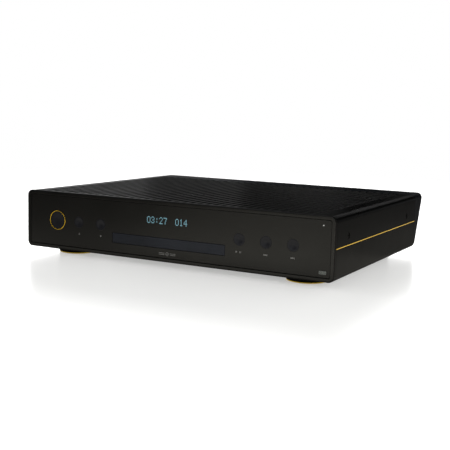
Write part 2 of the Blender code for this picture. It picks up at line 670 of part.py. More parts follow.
def make_tray(root):
    slide = add_empty("tray_slide", (0.0, from_front(TRAY_FRONT), TRAY_BOTTOM), root)
    front, back = from_front(TRAY_FRONT), from_front(TRAY_BACK)
    half, slot = TRAY_HALF_WIDTH, TRAY_SLOT_HALF
    slot_front = from_front(DISC_Y) - 0.019
    u_plan = [(-half, back), (-half, front), (half, front), (half, back), (slot, back), (slot, slot_front)]
    u_plan += [(-slot, slot_front), (-slot, back)]
    corner = (0.0, front, TRAY_BOTTOM)
    tray = add_part("tray", prism(u_plan, 0.031, TRAY_TOP), "black_plastic", slide, corner)
    rack = rack_outline(RACK_MODULE, RACK_PITCH_X, from_front(DRIVE_Y), front, back, slot)
    toothed = [(-half, front), *rack[1:-1], (slot, back), (slot, slot_front)]
    toothed += [(-slot, slot_front), (-slot, back), (-half, back)]
    add_boolean(tray, "UNION", prism(toothed, TRAY_BOTTOM, 0.0315))
    centre = (0.0, from_front(DISC_Y))
    add_boolean(tray, "DIFFERENCE", prism(circle(DISC_RECESS_RADIUS, centre, 40), TRAY_RECESS_FLOOR, 0.04))
    middle_z = (DOOR_BOTTOM + DOOR_TOP) / 2
    face = rounded_rectangle(DOOR_HALF_WIDTH, (DOOR_TOP - DOOR_BOTTOM) / 2, 0.0005, (0.0, middle_z), 2)
    bm = prism(face, from_front(PANEL_FRONT), from_front(TRAY_FRONT - GAP), "Y")
    add_part("tray_door", bm, "button_black", slide, corner)


def belt_outline(first, first_radius, second, second_radius, steps=8):
    """Loop round two circles whose centres share one Y: the outer half of each circle, joined straight."""
    tilt = math.acos((first_radius - second_radius) / (second[0] - first[0]))
    points = []
    for centre, radius, start, sweep in (
        (first, first_radius, tilt, 2 * (math.pi - tilt)),
        (second, second_radius, -tilt, 2 * tilt),
    ):
        for step in range(steps + 1):
            turn = start + sweep * step / steps
            points.append((centre[0] + radius * math.cos(turn), centre[1] + radius * math.sin(turn)))
    return points


def make_drive(root, drive_x):
    gear_bottom, gear_top, pulley_top = TRAY_BOTTOM + GAP, 0.0305, 0.0365
    centre = (drive_x, from_front(DRIVE_Y))
    outline = gear_outline(RACK_MODULE, DRIVE_TEETH, centre)
    bm = prism(outline, gear_bottom, gear_top, "Z", [circle(0.0023, centre, 16)])
    gear = add_part("drive_gear", bm, "grey_plastic", root, (*centre, gear_bottom))
    pulley = [(0.0026, gear_top - 0.001), (DRIVE_PULLEY_RADIUS, gear_top - 0.001)]
    pulley += [(DRIVE_PULLEY_RADIUS, pulley_top), (0.0026, pulley_top)]
    add_boolean(gear, "UNION", turned(pulley, (*centre, 0.0), steps=20, ring=True))

    spot = (LOADING_MOTOR_X, from_front(DRIVE_Y))
    can = [(0.0, LOADER_FLOOR_TOP + GAP), (0.010, LOADER_FLOOR_TOP + GAP), (0.010, 0.0305), (0.009, 0.031)]
    can += [(0.003, 0.031), (0.003, 0.0318), (0.0009, 0.0318), (0.0009, 0.0376), (0.0, 0.0376)]
    add_part("loading_motor", turned(can, (*spot, 0.0), steps=16), "steel", root, smooth=30)
    ring = [(0.0012, 0.0322), (MOTOR_PULLEY_RADIUS, 0.0322)]
    ring += [(MOTOR_PULLEY_RADIUS, pulley_top), (0.0012, pulley_top)]
    bm = turned(ring, (*spot, 0.0), steps=16, ring=True)
    add_part("motor_pulley", bm, "grey_plastic", root, (*spot, 0.0322), smooth=30)
    inner = belt_outline(centre, DRIVE_PULLEY_RADIUS + GAP, spot, MOTOR_PULLEY_RADIUS + GAP)
    reach = GAP + BELT_THICKNESS
    outer = belt_outline(centre, DRIVE_PULLEY_RADIUS + reach, spot, MOTOR_PULLEY_RADIUS + reach)
    add_part("drive_belt", prism(outer, 0.0337, 0.0349, "Z", [inner]), "rubber", root)


def make_deck(root):
    pivot = (0.0, from_front(DECK_PIVOT_Y), DECK_PIVOT_Z)
    tilt = add_empty("deck_tilt", pivot, root)
    support = 0.003
    rod_ends = ((0.0845, 0.0885), (0.147, 0.151))
    bore = 0.0018
    bearing = (DECK_PIVOT_Y - bore, DECK_PIVOT_Y + bore, DECK_PIVOT_Z - bore, DECK_PIVOT_Z + bore)
    solids = [
        (-0.045, 0.045, 0.056, 0.184, DECK_BOTTOM, DECK_TOP),
        (-0.067, 0.067, 0.183, 0.189, 0.0185, 0.0230),
    ]
    hollows = [
        (-0.014, 0.014, 0.092, 0.144, DECK_BOTTOM, DECK_TOP),
        (-0.067, 0.067, *bearing),
        (0.0325, 0.0355, SLED_GEAR_Y - 0.0015, SLED_GEAR_Y + 0.0015, DECK_BOTTOM, DECK_TOP),
    ]
    for sign in (-1, 1):
        rod = sign * ROD_X
        for low, high in rod_ends:
            solids.append((rod - support, rod + support, low, high, DECK_BOTTOM, 0.0264))
        reach = ROD_RADIUS + GAP
        hollows.append((rod - reach, rod + reach, 0.080, 0.155, ROD_Z - reach, ROD_Z + reach))
    add_part("laser_deck", blocks(solids, hollows), "zinc_plate", tilt, pivot)
    shaft = [(0.0, -0.0735), (0.0015, -0.0735), (0.0015, 0.0735), (0.0, 0.0735)]
    add_part("deck_pivot_shaft", turned(shaft, pivot, "X", 12), "steel", root, smooth=30)
    for side, sign in (("left", -1), ("right", 1)):
        centre = (sign * ROD_X, from_front(0.0), ROD_Z)
        rod = [(0.0, 0.0845), (ROD_RADIUS, 0.0845), (ROD_RADIUS, 0.151), (0.0, 0.151)]
        add_part(f"guide_rod_{side}", turned(rod, centre, "Y", 12), "steel", tilt, smooth=30)

    centre = (0.0, from_front(DISC_Y), 0.0)
    motor = [(0.0, DECK_TOP + GAP), (0.013, DECK_TOP + GAP)]
    motor += [(0.013, 0.0278), (0.012, 0.0284), (0.0, 0.0284)]
    add_part("spindle_motor", turned(motor, centre, steps=20), "steel", tilt, smooth=30)
    seat = [(0.0, 0.0288), (0.008, 0.0288), (0.0145, 0.0318), (0.015, 0.0322), (0.015, 0.0338)]
    seat += [(0.0074, 0.0338), (0.0072, 0.0348), (0.0060, 0.0358), (0.0, 0.0358)]
    pivot = (0.0, from_front(DISC_Y), 0.0288)
    add_part("turntable", turned(seat, centre, steps=20), "grey_plastic", tilt, pivot, smooth=30)

    gear_centre = (SLED_RACK_X + SLED_MODULE * SLED_TEETH / 2, from_front(SLED_GEAR_Y))
    can = [(0.0, 0.0160), (0.009, 0.0160), (0.009, DECK_BOTTOM - GAP), (0.001, DECK_BOTTOM - GAP)]
    can += [(0.001, 0.0262), (0.0, 0.0262)]
    add_part("sled_motor", turned(can, (*gear_centre, 0.0), steps=16), "steel", tilt, smooth=30)
    outline = gear_outline(SLED_MODULE, SLED_TEETH, gear_centre)
    bm = prism(outline, 0.0222, 0.0258, "Z", [circle(0.0013, gear_centre, 12)])
    add_part("sled_gear", bm, "grey_plastic", tilt, (*gear_centre, 0.0222))
    make_sled(tilt)


def make_sled(tilt):
    slide = add_empty("sled_slide", (0.0, from_front(LENS_Y), ROD_Z), tilt)
    low, high, back = DECK_TOP + GAP, 0.0266, 0.108
    reach = ROD_RADIUS + 2 * GAP / 3
    solids = [
        (-0.026, 0.026, SLED_FRONT, back, low, high),
        (-0.0065, 0.0065, LENS_Y - 0.006, LENS_Y + 0.006, low, 0.0285),
    ]
    hollows = []
    for sign in (-1, 1):
        rod = sign * ROD_X
        hollows.append((rod - reach, rod + reach, SLED_FRONT, back, ROD_Z - reach, ROD_Z + reach))
    pivot = (0.0, from_front(LENS_Y), ROD_Z)
    sled = add_part("laser_sled", blocks(solids, hollows), "black_plastic", slide, pivot)
    front, rack_back = from_front(SLED_FRONT + 0.0005), from_front(0.146)
    outline = rack_outline(SLED_MODULE, SLED_RACK_X, from_front(SLED_GEAR_Y), front, rack_back, 0.0248)
    add_boolean(sled, "UNION", prism(outline, 0.0226, 0.0254))
    lens = [(0.0, 0.0288), (0.0034, 0.0288), (0.0034, 0.0294)]
    lens += [(0.0024, 0.0301), (0.0010, 0.0304), (0.0, 0.0305)]
    bm = turned(lens, (0.0, from_front(LENS_Y), 0.0), steps=12)
    add_part("laser_lens", bm, "display_glass", slide, smooth=30)


def make_player():
    clear_scene()
    root = add_empty("cd_player")
    make_base(root)
    make_cover(root)
    make_hood(root)
    make_fascia(root)
    make_buttons(root)
    make_electronics(root)
    make_rear(root)
    drive_x = make_loader(root)
    make_tray(root)
    make_drive(root, drive_x)
    make_deck(root)


make_player()
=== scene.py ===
"""Looks of the CD player: detailed shells, controls, sockets and feet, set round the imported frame.

Metres, +Z up, in the frame of the CAD part: the fascia faces -Y. Depths are measured from the fascia's
front face, and at() turns them into world Y.
"""

import json
import math
from functools import reduce

import bmesh
import bpy
from mathutils import Matrix, Vector
from mathutils.geometry import tessellate_polygon


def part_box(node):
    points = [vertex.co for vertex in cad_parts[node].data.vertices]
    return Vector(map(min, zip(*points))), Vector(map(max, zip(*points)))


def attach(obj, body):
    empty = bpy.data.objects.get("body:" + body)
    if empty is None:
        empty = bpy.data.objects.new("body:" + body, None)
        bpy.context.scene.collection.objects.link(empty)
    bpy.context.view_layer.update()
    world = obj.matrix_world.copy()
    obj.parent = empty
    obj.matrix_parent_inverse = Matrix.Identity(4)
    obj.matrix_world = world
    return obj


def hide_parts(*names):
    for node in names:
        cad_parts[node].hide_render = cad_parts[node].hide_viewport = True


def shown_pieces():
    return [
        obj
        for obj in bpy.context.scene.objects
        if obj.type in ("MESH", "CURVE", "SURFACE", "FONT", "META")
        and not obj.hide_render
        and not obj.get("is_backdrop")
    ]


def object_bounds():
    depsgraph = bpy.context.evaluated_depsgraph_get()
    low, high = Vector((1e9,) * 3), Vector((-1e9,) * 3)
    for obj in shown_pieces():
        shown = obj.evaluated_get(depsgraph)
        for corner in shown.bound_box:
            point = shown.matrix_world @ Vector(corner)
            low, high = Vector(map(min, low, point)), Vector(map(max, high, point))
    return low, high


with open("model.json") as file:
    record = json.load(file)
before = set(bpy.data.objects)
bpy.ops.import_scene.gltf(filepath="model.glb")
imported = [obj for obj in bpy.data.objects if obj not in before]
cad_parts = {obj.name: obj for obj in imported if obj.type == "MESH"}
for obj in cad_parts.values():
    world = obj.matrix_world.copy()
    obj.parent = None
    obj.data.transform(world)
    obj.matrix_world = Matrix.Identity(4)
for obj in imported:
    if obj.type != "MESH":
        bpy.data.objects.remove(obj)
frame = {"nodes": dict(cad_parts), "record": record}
cad_low, cad_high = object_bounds()

# The table and the room: what the camera sees, and the light that reaches the object
FLOOR_RADIUS = 1.5
FLOOR_FADE = 0.75
FLOOR_ROUGHNESS = 0.25
FLOOR_GLOW = 0.385
FLOOR_CARD = 0.07
ROOM_GLOW = 0.002
WHITE = (1.0, 1.0, 1.0)
WARM = (1.0, 0.965, 0.84)
COOL = (0.80, 0.86, 1.0)
YELLOW = (1.0, 0.92, 0.62)

# Soft panels over the object, low behind it and in front: name, place, target, size, radiance
PANELS = (
    ("overhead", (-0.4, 0.0, 1.6), (0.0, 0.0, 0.0), (1.9, 1.5), 0.25),
    ("back_left", (-1.52, 1.22, 0.33), (0.0, 0.0, 0.06), (1.0, 0.40), 0.31),
    ("back_middle", (-1.16, 1.53, 0.33), (0.0, 0.0, 0.06), (0.7, 0.40), 0.20),
    ("back_fade", (-0.72, 1.78, 0.33), (0.0, 0.0, 0.06), (0.4, 0.40), 0.04),
    ("bend_light", (0.06, 1.7, 0.70), (0.1, 0.05, 0.08), (0.7, 0.16), 0.36),
    ("edge_light", (0.66, 1.7, 0.16), (0.2, 0.05, 0.06), (0.5, 0.3), 0.09),
    ("front_key", (0.05, -1.9, 0.80), (0.0, -0.17, 0.05), (0.8, 0.5), 2.2),
)
# Patches of the table that glow upwards: name, middle, size, radiance
CARDS = (
    ("front_card", (0.25, -0.55), (0.75, 0.6), 0.92),
    ("near_card", (0.02, -0.25), (0.70, 0.12), 0.42),
    ("side_card", (0.275, 0.12), (0.11, 0.62), 0.055),
    ("low_card", (0.265, -0.04), (0.09, 0.22), 0.08),
    ("left_card", (-0.65, 0.10), (0.5, 0.8), 1.0),
    ("back_card", (-0.20, 0.70), (0.8, 0.7), 0.8),
    ("right_card", (0.75, -0.20), (0.5, 0.4), 0.17),
)
# Dim walls that light only the object
WALLS = (
    ("left_wall", (-2.4, -0.3, 0.9)),
    ("right_wall", (2.4, 0.3, 0.9)),
    ("near_wall", (1.5, -1.9, 0.9)),
    ("far_sky", (0.0, 1.5, 2.3)),
)
WALL_SIZE = (2.6, 1.3)
WALL_GLOW = 0.2
# Four tall panels that light only the table
SURROUND = 2.85
SURROUND_SIZE = (4.8, 1.6)
SURROUND_REACH = 2.4

# The camera: place, lens for a 36 mm sensor, and its turns
CAMERA_PLACE = (0.54482, -1.04072, 0.19770)
CAMERA_LENS = 68.93
CAMERA_YAW = math.radians(28.17)
CAMERA_PITCH = math.radians(7.85)
CAMERA_ROLL = math.radians(1.52)

# Case
WIDTH = cad_high.x - cad_low.x
FRONT = cad_low.y
GAP = 0.0003
COVER_LOW, COVER_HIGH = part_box("top_cover")
COVER_BEND = 0.008
CASE_CURL = 0.0068
SIDE_WALL = 0.0018
ROOF = 0.003
RIB_PITCH = 0.0108
RIB_COUNT = 37
GROOVE_START = 0.0110
GROOVE_RUN_OUT = 0.0035
GROOVE_DEPTH = 0.0014
GROOVE_FLOOR_HALF = 0.0017
GROOVE_TOP_HALF = 0.0034
STRIP_BED = 0.0008
SCREW_HOLE_RADIUS = 0.00354
HOOD_BOTTOM_LENGTH = 0.005
HOOD_TAPER = 0.0012

# Fascia
RIM_WIDTH = 0.0046
RIM_CORNER = 0.007
BUTTONS = ("eject", "stop", "play", "skip_back", "skip_forward")
DISH_RADIUS = 0.0072
BUTTON_FACE = 0.0009
BUTTON_FLANGE = 0.0046
RING_WIDTH = 0.0005
DOOR_MARGIN = 0.0004
LED_RADIUS = 0.00065

# Marks, which stand a hair proud of the fascia sheet: depths of their faces, and heights over the table
PRINT_FRONT = 0.00084
PRINT_BACK = 0.00100
ICON_Z = 0.0320
EMBLEM_X = 0.0010
EMBLEM_Z = 0.0192
DOT_X = 0.00098
DOT_Z = 0.00117
READOUT_Z = 0.0556
READOUT = (("03:27", -0.0280), ("014", 0.0122))
# Each character of the readout as seven rows of five dots, with # for a lit one
DIGITS = {
    "0": (" ### ", "#   #", "#   #", "#   #", "#   #", "#   #", " ### "),
    "1": ("  #  ", " ##  ", "  #  ", "  #  ", "  #  ", "  #  ", " ### "),
    "2": (" ### ", "#   #", "    #", "   # ", "  #  ", " #   ", "#####"),
    "3": (" ### ", "#   #", "    #", "  ## ", "    #", "#   #", " ### "),
    "4": ("   # ", "  ## ", " # # ", "#  # ", "#####", "   # ", "   # "),
    "7": ("#####", "    #", "   # ", "   # ", "  #  ", "  #  ", "  #  "),
    ":": ("     ", "  #  ", "  #  ", "     ", "  #  ", "  #  ", "     "),
}

# Floor pan: its vents, pressed beads and screws, whose places are (x, depth)
PAN_SHEET = 0.0012
VENT_X = 0.096
VENT_ROWS = 8
VENT_START = 0.10675
VENT_PITCH = 0.011
VENT_HALF_LENGTH = 0.022
VENT_HALF_WIDTH = 0.00175
BEAD_HALF_WIDTH = 0.0022
BEAD_DEPTH = 0.0005
PAN_SCREWS = ((0.199, 0.095), (0.199, 0.215), (0.10, 0.035), (0.10, 0.275))

# Disc tray: a rack tooth is (offset in pitches, height over the pitch line in modules)
TRAY_LOW, TRAY_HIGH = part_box("tray")
DISC_DEPTH = 0.075
TRAY_LEDGE = 0.031
TRAY_SLOT_HALF = 0.018
LARGE_DISC_RADIUS = 0.0605
LARGE_DISC_FLOOR = 0.0299
SMALL_DISC_RADIUS = 0.0405
SMALL_DISC_FLOOR = 0.0291
RACK_MODULE = 0.0015
RACK_PITCH_X = 0.0661
RACK_MESH_DEPTH = 0.038
RACK_TOOTH = ((-0.32, -0.95), (-0.11, 0.75), (0.11, 0.75), (0.32, -0.95))

# Rear: the panel's face, the depth past all sockets, printed lines, and the screws' (x, z)
REAR_FACE = 0.3054
PAST_REAR = 0.32
LINE_WIDTH = 0.0004
LINE_FRONT = REAR_FACE - 0.00005
LINE_BACK = REAR_FACE + 0.00006
REAR_SCREWS = ((0.203, 0.020), (0.203, 0.066), (0.10, 0.070), (0.035, 0.018))
BARREL_RADIUS = 0.0042
BORE_RADIUS = 0.0034
BORE_BOTTOM = 0.3070
WELL_HALF = 0.0030

# Mains module: the inlet beside the rocker
INLET_OFFSET = -0.014
ROCKER_X = -0.122
ROCKER_RADIUS = 0.0104
ROCKER_PIVOT_DEPTH = 0.3035
ROCKER_TILT = math.radians(-8.0)

# Carried-over nodes whose walls are too thin for the usual softened edge
THIN_WALLED = {"laser_deck", "deck_pivot_shaft"}
THIN_EDGE = 0.0001
FRAME_EDGE = 0.00025


def at(depth):
    """World Y of a depth measured from the fascia's front face."""
    return FRONT + depth


def centre_of(name):
    low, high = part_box(name)
    return (low + high) / 2


def halves_of(name):
    low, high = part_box(name)
    return (high - low) / 2


def front_of(name):
    """The point of the fascia's front plane that a node is centred behind."""
    middle = centre_of(name)
    return middle.x, FRONT, middle.z


# ---------------------------------------------------------------- finishes


def node(tree, kind, **settings):
    """A shader node; a setting is a property, an input's value, or the socket that feeds the input."""
    made = tree.nodes.new(kind)
    for key, value in settings.items():
        name = key.replace("_", " ")
        if name not in made.inputs:
            setattr(made, key, value)
        elif isinstance(value, bpy.types.NodeSocket):
            tree.links.new(value, made.inputs[name])
        else:
            made.inputs[name].default_value = value
    return made


def own_coords(tree):
    """The piece's own coordinates in metres."""
    return node(tree, "ShaderNodeTexCoord").outputs["Object"]


def noise(tree, coords, scale, detail=3.0, stretch=None):
    """Noise over the piece, stretched along an axis for brushed metal."""
    if stretch:
        coords = node(tree, "ShaderNodeMapping", Scale=stretch, Vector=coords).outputs["Vector"]
    made = node(tree, "ShaderNodeTexNoise", Scale=scale, Detail=detail, Roughness=0.55, Vector=coords)
    return made.outputs["Fac"]


def spread(tree, source, low, high):
    """Maps the middle of a noise's range onto low to high."""
    made = node(tree, "ShaderNodeMapRange", From_Min=0.3, From_Max=0.7, To_Min=low, To_Max=high, Value=source)
    return made.outputs["Result"]


def blend_colours(tree, factor, first, second):
    made = node(
        tree, "ShaderNodeMix", data_type="RGBA", A=(*first, 1.0), B=(*second, 1.0), Factor=factor
    )
    return made.outputs["Result"]


def shaded(colour, share):
    """A darker or lighter tone of a colour."""
    return tuple(min(1.0, c * share) for c in colour)


def surface(
    name, colour, roughness, metallic=0.0, shade=0.25, patch=14.0, grain=2200.0, relief=2e-5,
    uneven=0.05, stretch=None, specular=0.5, coat=0.0, sheen=0.0,
):
    """A finish with grain in its relief, soft patches in its colour and uneven gloss."""
    made = bpy.data.materials.new(name)
    made.use_nodes = True
    tree = made.node_tree
    shader = tree.nodes["Principled BSDF"]
    coords = own_coords(tree)
    patches = spread(tree, noise(tree, coords, patch, 5.0), 0.0, 1.0)
    tones = blend_colours(tree, patches, shaded(colour, 1 - shade), shaded(colour, 1 + shade))
    tree.links.new(tones, shader.inputs["Base Color"])
    fine = noise(tree, coords, grain, 2.0, stretch)
    gloss = noise(tree, coords, patch * 3.1, 4.0, stretch and tuple(s ** 0.5 for s in stretch))
    gloss = spread(tree, gloss, roughness - uneven, roughness + uneven)
    tree.links.new(gloss, shader.inputs["Roughness"])
    bumps = node(tree, "ShaderNodeBump", Strength=1.0, Distance=relief, Height=fine)
    tree.links.new(bumps.outputs["Normal"], shader.inputs["Normal"])
    shader.inputs["Metallic"].default_value = metallic
    shader.inputs["Specular IOR Level"].default_value = specular
    shader.inputs["Coat Weight"].default_value = coat
    shader.inputs["Coat Roughness"].default_value = 0.1
    shader.inputs["Sheen Weight"].default_value = sheen
    made.diffuse_color = (*colour, 1.0)
    return made


def insides(made):
    """A finish's node tree, the inputs of its shader and its coordinates."""
    tree = made.node_tree
    return tree, tree.nodes["Principled BSDF"].inputs, tree.nodes["Texture Coordinate"].outputs["Object"]


def add_relief(tree, inputs, height, distance, strength):
    """Lays a second relief over the grain of a finish."""
    under = inputs["Normal"].links[0].from_socket
    made = node(tree, "ShaderNodeBump", Strength=strength, Distance=distance, Height=height, Normal=under)
    tree.links.new(made.outputs["Normal"], inputs["Normal"])


def cells(name, colour, second, roughness, metallic, scale, relief, feature="F1", randomness=1.0):
    """A finish broken into cells: zinc spangle, or the copper pattern of a circuit board."""
    made = surface(name, colour, roughness, metallic)
    tree, inputs, coords = insides(made)
    cell = node(
        tree, "ShaderNodeTexVoronoi", Scale=scale, Randomness=randomness, feature=feature, Vector=coords
    )
    source = cell.outputs["Color" if feature == "F1" else "Distance"]
    ramp = node(tree, "ShaderNodeValToRGB", Fac=source)
    first, last = ramp.color_ramp.elements
    first.color = (*second, 1.0)
    last.color = (*colour, 1.0)
    if feature != "F1":
        first.position = 0.02
        last.position = 0.06
    tree.links.new(ramp.outputs["Color"], inputs["Base Color"])
    add_relief(tree, inputs, ramp.outputs["Color"], relief, 0.6)
    return made


def windings(name, colour, wire):
    """Enamelled copper wire wound side by side, level over level."""
    made = surface(name, colour, 0.3, 0.9, shade=0.2, patch=60.0)
    tree, inputs, coords = insides(made)
    wave = node(
        tree, "ShaderNodeTexWave", Scale=1 / wire / 6.283, Distortion=0.4, bands_direction="Z", Vector=coords
    )
    add_relief(tree, inputs, wave.outputs["Fac"], wire / 3, 0.8)
    return made


def glowing(name, colour, strength):
    """A lit lens or phosphor dot, a little uneven over its face."""
    made = surface(name, shaded(colour, 0.3), 0.35, shade=0.1)
    tree, inputs, coords = insides(made)
    glow = spread(tree, noise(tree, coords, 900.0), 0.0, 1.0)
    tree.links.new(blend_colours(tree, glow, shaded(colour, 0.8), colour), inputs["Emission Color"])
    inputs["Emission Strength"].default_value = strength
    return made


# The finish of each material slot, worn by the pieces and by the carried-over nodes
MATERIALS = {
    "black_coat": surface(
        "coat", (0.0058, 0.0056, 0.0051), 0.29, shade=0.12, specular=0.32, uneven=0.02, grain=1900,
        relief=6e-6, patch=9,
    ),
    "panel_black": surface(
        "fascia_satin", (0.0062, 0.0058, 0.0052), 0.42, shade=0.15, uneven=0.03, grain=2600, patch=7
    ),
    "rim_black": surface("rim_satin", (0.0085, 0.0080, 0.0074), 0.36, grain=2400, relief=1.5e-5),
    "button_black": surface(
        "button_satin", (0.0190, 0.0195, 0.0250), 0.46, specular=0.25, grain=2600, relief=1e-5
    ),
    "gold": surface("gold_anodised", (0.88, 0.58, 0.055), 0.30, 1.0, 0.06, stretch=(1, 0.03, 1), relief=1e-5),
    "steel": surface("steel_dark", (0.30, 0.30, 0.31), 0.34, 1.0, 0.15, patch=90, relief=1e-5),
    "zinc_plate": cells("zinc_spangle", (0.34, 0.35, 0.36), (0.26, 0.27, 0.285), 0.38, 1.0, 320, 1e-5),
    "black_plastic": surface("moulded_black", (0.016, 0.016, 0.017), 0.48, grain=1500, relief=6e-5),
    "grey_plastic": surface("moulded_grey", (0.13, 0.13, 0.14), 0.45, grain=1500, relief=5e-5),
    "rubber": surface("rubber_matt", (0.012, 0.012, 0.012), 0.8, grain=1100, relief=8e-5, sheen=0.1),
    "board_green": cells(
        "board_mask", (0.012, 0.075, 0.032), (0.03, 0.16, 0.07), 0.35, 0.0, 240, 3e-5, "DISTANCE_TO_EDGE", 0.5
    ),
    "light_lens": glowing("led_white", (1.0, 1.0, 0.97), 0.55),
    "copper": windings("copper_wire", (0.55, 0.22, 0.09), 0.0006),
    "display_glass": surface("smoked_glass", (0.004, 0.006, 0.009), 0.08, coat=1.0, relief=2e-6),
}
# The hood's coat is lighter and bluer than the cover's: partly its own tone, partly painted sheen for the light on
# its slanted face
HOOD_COAT_AND_SHEEN = surface("hood_coat_and_sheen", (0.0165, 0.0215, 0.0295), 0.34, relief=1.2e-5, patch=9)
DOOR_SATIN = surface("door_satin", (0.0255, 0.0300, 0.0440), 0.45, specular=0.25, grain=2600, relief=1e-5)
SCREW_BLACK = surface("screw_black", (0.0110, 0.0108, 0.0102), 0.40, 0.0, 0.3, patch=120, relief=1e-5)
# Painted shadow: the feet's black is deepened below the rubber's own colour, for the shade under the case
FOOT_BLACK_AND_SHADOW = surface("foot_black_and_shadow", (0.0035, 0.0035, 0.0036), 0.55, specular=0.2, grain=1300, relief=6e-5)
TRAY_BLACK = surface("tray_black", (0.012, 0.012, 0.0125), 0.4, grain=1600, relief=4e-5)
PRINT = surface("printed_grey", (0.38, 0.38, 0.39), 0.6, shade=0.2, patch=400, relief=1e-5)
PRINT_DIM = surface("printed_dim", (0.26, 0.26, 0.27), 0.6, shade=0.2, patch=400, relief=1e-5)
PHOSPHOR = glowing("phosphor_blue", (0.21, 0.42, 0.50), 0.85)
BADGE = surface("badge_silver", (0.22, 0.24, 0.24), 0.4, 0.4, relief=1e-5)
BADGE_INK = surface("badge_ink", (0.03, 0.035, 0.04), 0.5, relief=1e-5)
GILT = surface("socket_gilt", (0.80, 0.52, 0.16), 0.26, 1.0, 0.08, patch=200, relief=6e-6)
EMITTER = glowing("emitter_red", (0.9, 0.03, 0.02), 0.6)
# The round sockets, by the finish of the insulator inside each
SOCKETS = {
    "rca_left": surface("insulator_white", (0.62, 0.61, 0.58), 0.4, shade=0.08),
    "rca_right": surface("insulator_red", (0.42, 0.015, 0.012), 0.4, shade=0.1),
    "coax_jack": surface("insulator_orange", (0.62, 0.17, 0.015), 0.4, shade=0.1),
}


# ---------------------------------------------------------------- mesh tools


def piece(name, bm, material, body="chassis", replaces=(), smooth=40.0):
    """Turns a skin into a named piece that rides on a body, with its origin at the frame's."""
    bmesh.ops.recalc_face_normals(bm, faces=bm.faces[:])
    mesh = bpy.data.meshes.new(name)
    bm.to_mesh(mesh)
    bm.free()
    mesh.shade_smooth()
    mesh.set_sharp_from_angle(angle=math.radians(smooth))
    made = bpy.data.objects.new(name, mesh)
    bpy.context.scene.collection.objects.link(made)
    mesh.materials.append(material)
    even = made.modifiers.new("even", "WEIGHTED_NORMAL")
    even.keep_sharp = True
    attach(made, body)
    if replaces:
        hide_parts(*replaces)
    return made


def joined(*parts):
    """One bmesh holding all the parts, whose skins stay apart."""
    bm = bmesh.new()
    for part in parts:
        mesh = bpy.data.meshes.new("part")
        part.to_mesh(mesh)
        part.free()
        bm.from_mesh(mesh)
        bpy.data.meshes.remove(mesh)
    return bm


def arc(radius, centre, first, last, steps):
    """Points of an arc between two angles in degrees."""
    angles = [math.radians(first + (last - first) * k / steps) for k in range(steps + 1)]
    return [(centre[0] + radius * math.cos(a), centre[1] + radius * math.sin(a)) for a in angles]


def quarter(radius, steps):
    """A rounded edge as (inset, depth) pairs, from a plate's side to its face."""
    angles = [math.pi / 2 * k / steps for k in range(steps + 1)]
    return [(radius * (1 - math.cos(a)), radius * (1 - math.sin(a))) for a in angles]


def disc(radius, centre=(0.0, 0.0), steps=48):
    return arc(radius, centre, 0, 360, steps)[:-1]


def rounded(half_a, half_b, radius, centre=(0.0, 0.0), steps=8):
    """Outline of a rectangle with round corners, anticlockwise."""
    points = []
    for k, (a, b) in enumerate(((1, 1), (-1, 1), (-1, -1), (1, -1))):
        middle = (centre[0] + a * (half_a - radius), centre[1] + b * (half_b - radius))
        points += arc(radius, middle, 90 * k, 90 * k + 90, steps)
    return points


def round_face(radius, x, z, steps=64):
    """A round outline seen from the front, as a function of its inset."""
    return lambda inset: disc(radius - inset, (x, z), steps)


def square_face(name, corner, margin=0.0, steps=4):
    """The round-cornered outline of a node seen from the front, as a function of its inset."""
    middle, half = centre_of(name), halves_of(name)
    return lambda inset: rounded(
        half.x + margin - inset, half.z + margin - inset, corner - inset, (middle.x, middle.z), steps
    )


def in_space(axis, a, b, along):
    """A point of a plane across an axis: XY for Z, XZ for Y and YZ for X."""
    return {"Z": (a, b, along), "Y": (a, along, b), "X": (along, a, b)}[axis]


def bridge(bm, lower, upper):
    """Faces between two rows of corners; a pole is a row that repeats one corner."""
    for k, corner in enumerate(lower):
        after = (k + 1) % len(lower)
        bm.faces.new(list(dict.fromkeys([corner, lower[after], upper[after], upper[k]])))


def loft(loops, closed=False):
    """Faces between loops of equally many points, with caps unless the last loop joins the first."""
    bm = bmesh.new()
    rows = [[bm.verts.new(point) for point in loop] for loop in loops]
    if closed:
        rows.append(rows[0])
    else:
        bm.faces.new(rows[0])
        bm.faces.new(rows[-1])
    for lower, upper in zip(rows, rows[1:]):
        bridge(bm, lower, upper)
    return bm


def softened(points, radius, steps=4, closed=True):
    """An outline or profile with each corner rounded by up to radius."""
    made = []
    count = len(points)
    for k, point in enumerate(points):
        if not closed and k in (0, count - 1):
            made.append(tuple(point))
            continue
        here = Vector(point)
        before, after = Vector(points[k - 1]), Vector(points[(k + 1) % count])
        reach = min(radius, (before - here).length * 0.45, (after - here).length * 0.45)
        start = here + (before - here).normalized() * reach
        end = here + (after - here).normalized() * reach
        for step in range(steps + 1):
            t = step / steps
            made.append(tuple(start * (1 - t) ** 2 + here * 2 * t * (1 - t) + end * t ** 2))
    return made


def turned(profile, centre, axis="Z", steps=64, soft=0.0, soft_steps=3, ring=False):
    """A profile of (radius, height) points, its corners softened, turned about an axis through centre."""
    if soft:
        profile = softened(profile, soft, soft_steps, closed=ring)
    bm = bmesh.new()
    rows = []
    for radius, height in profile:
        outline = disc(radius, steps=steps) if radius else [(0.0, 0.0)]
        row = [bm.verts.new(Vector(centre) + Vector(in_space(axis, a, b, height))) for a, b in outline]
        rows.append(row if radius else row * steps)
    if ring:
        rows.append(rows[0])
    for lower, upper in zip(rows, rows[1:]):
        bridge(bm, lower, upper)
    return bm


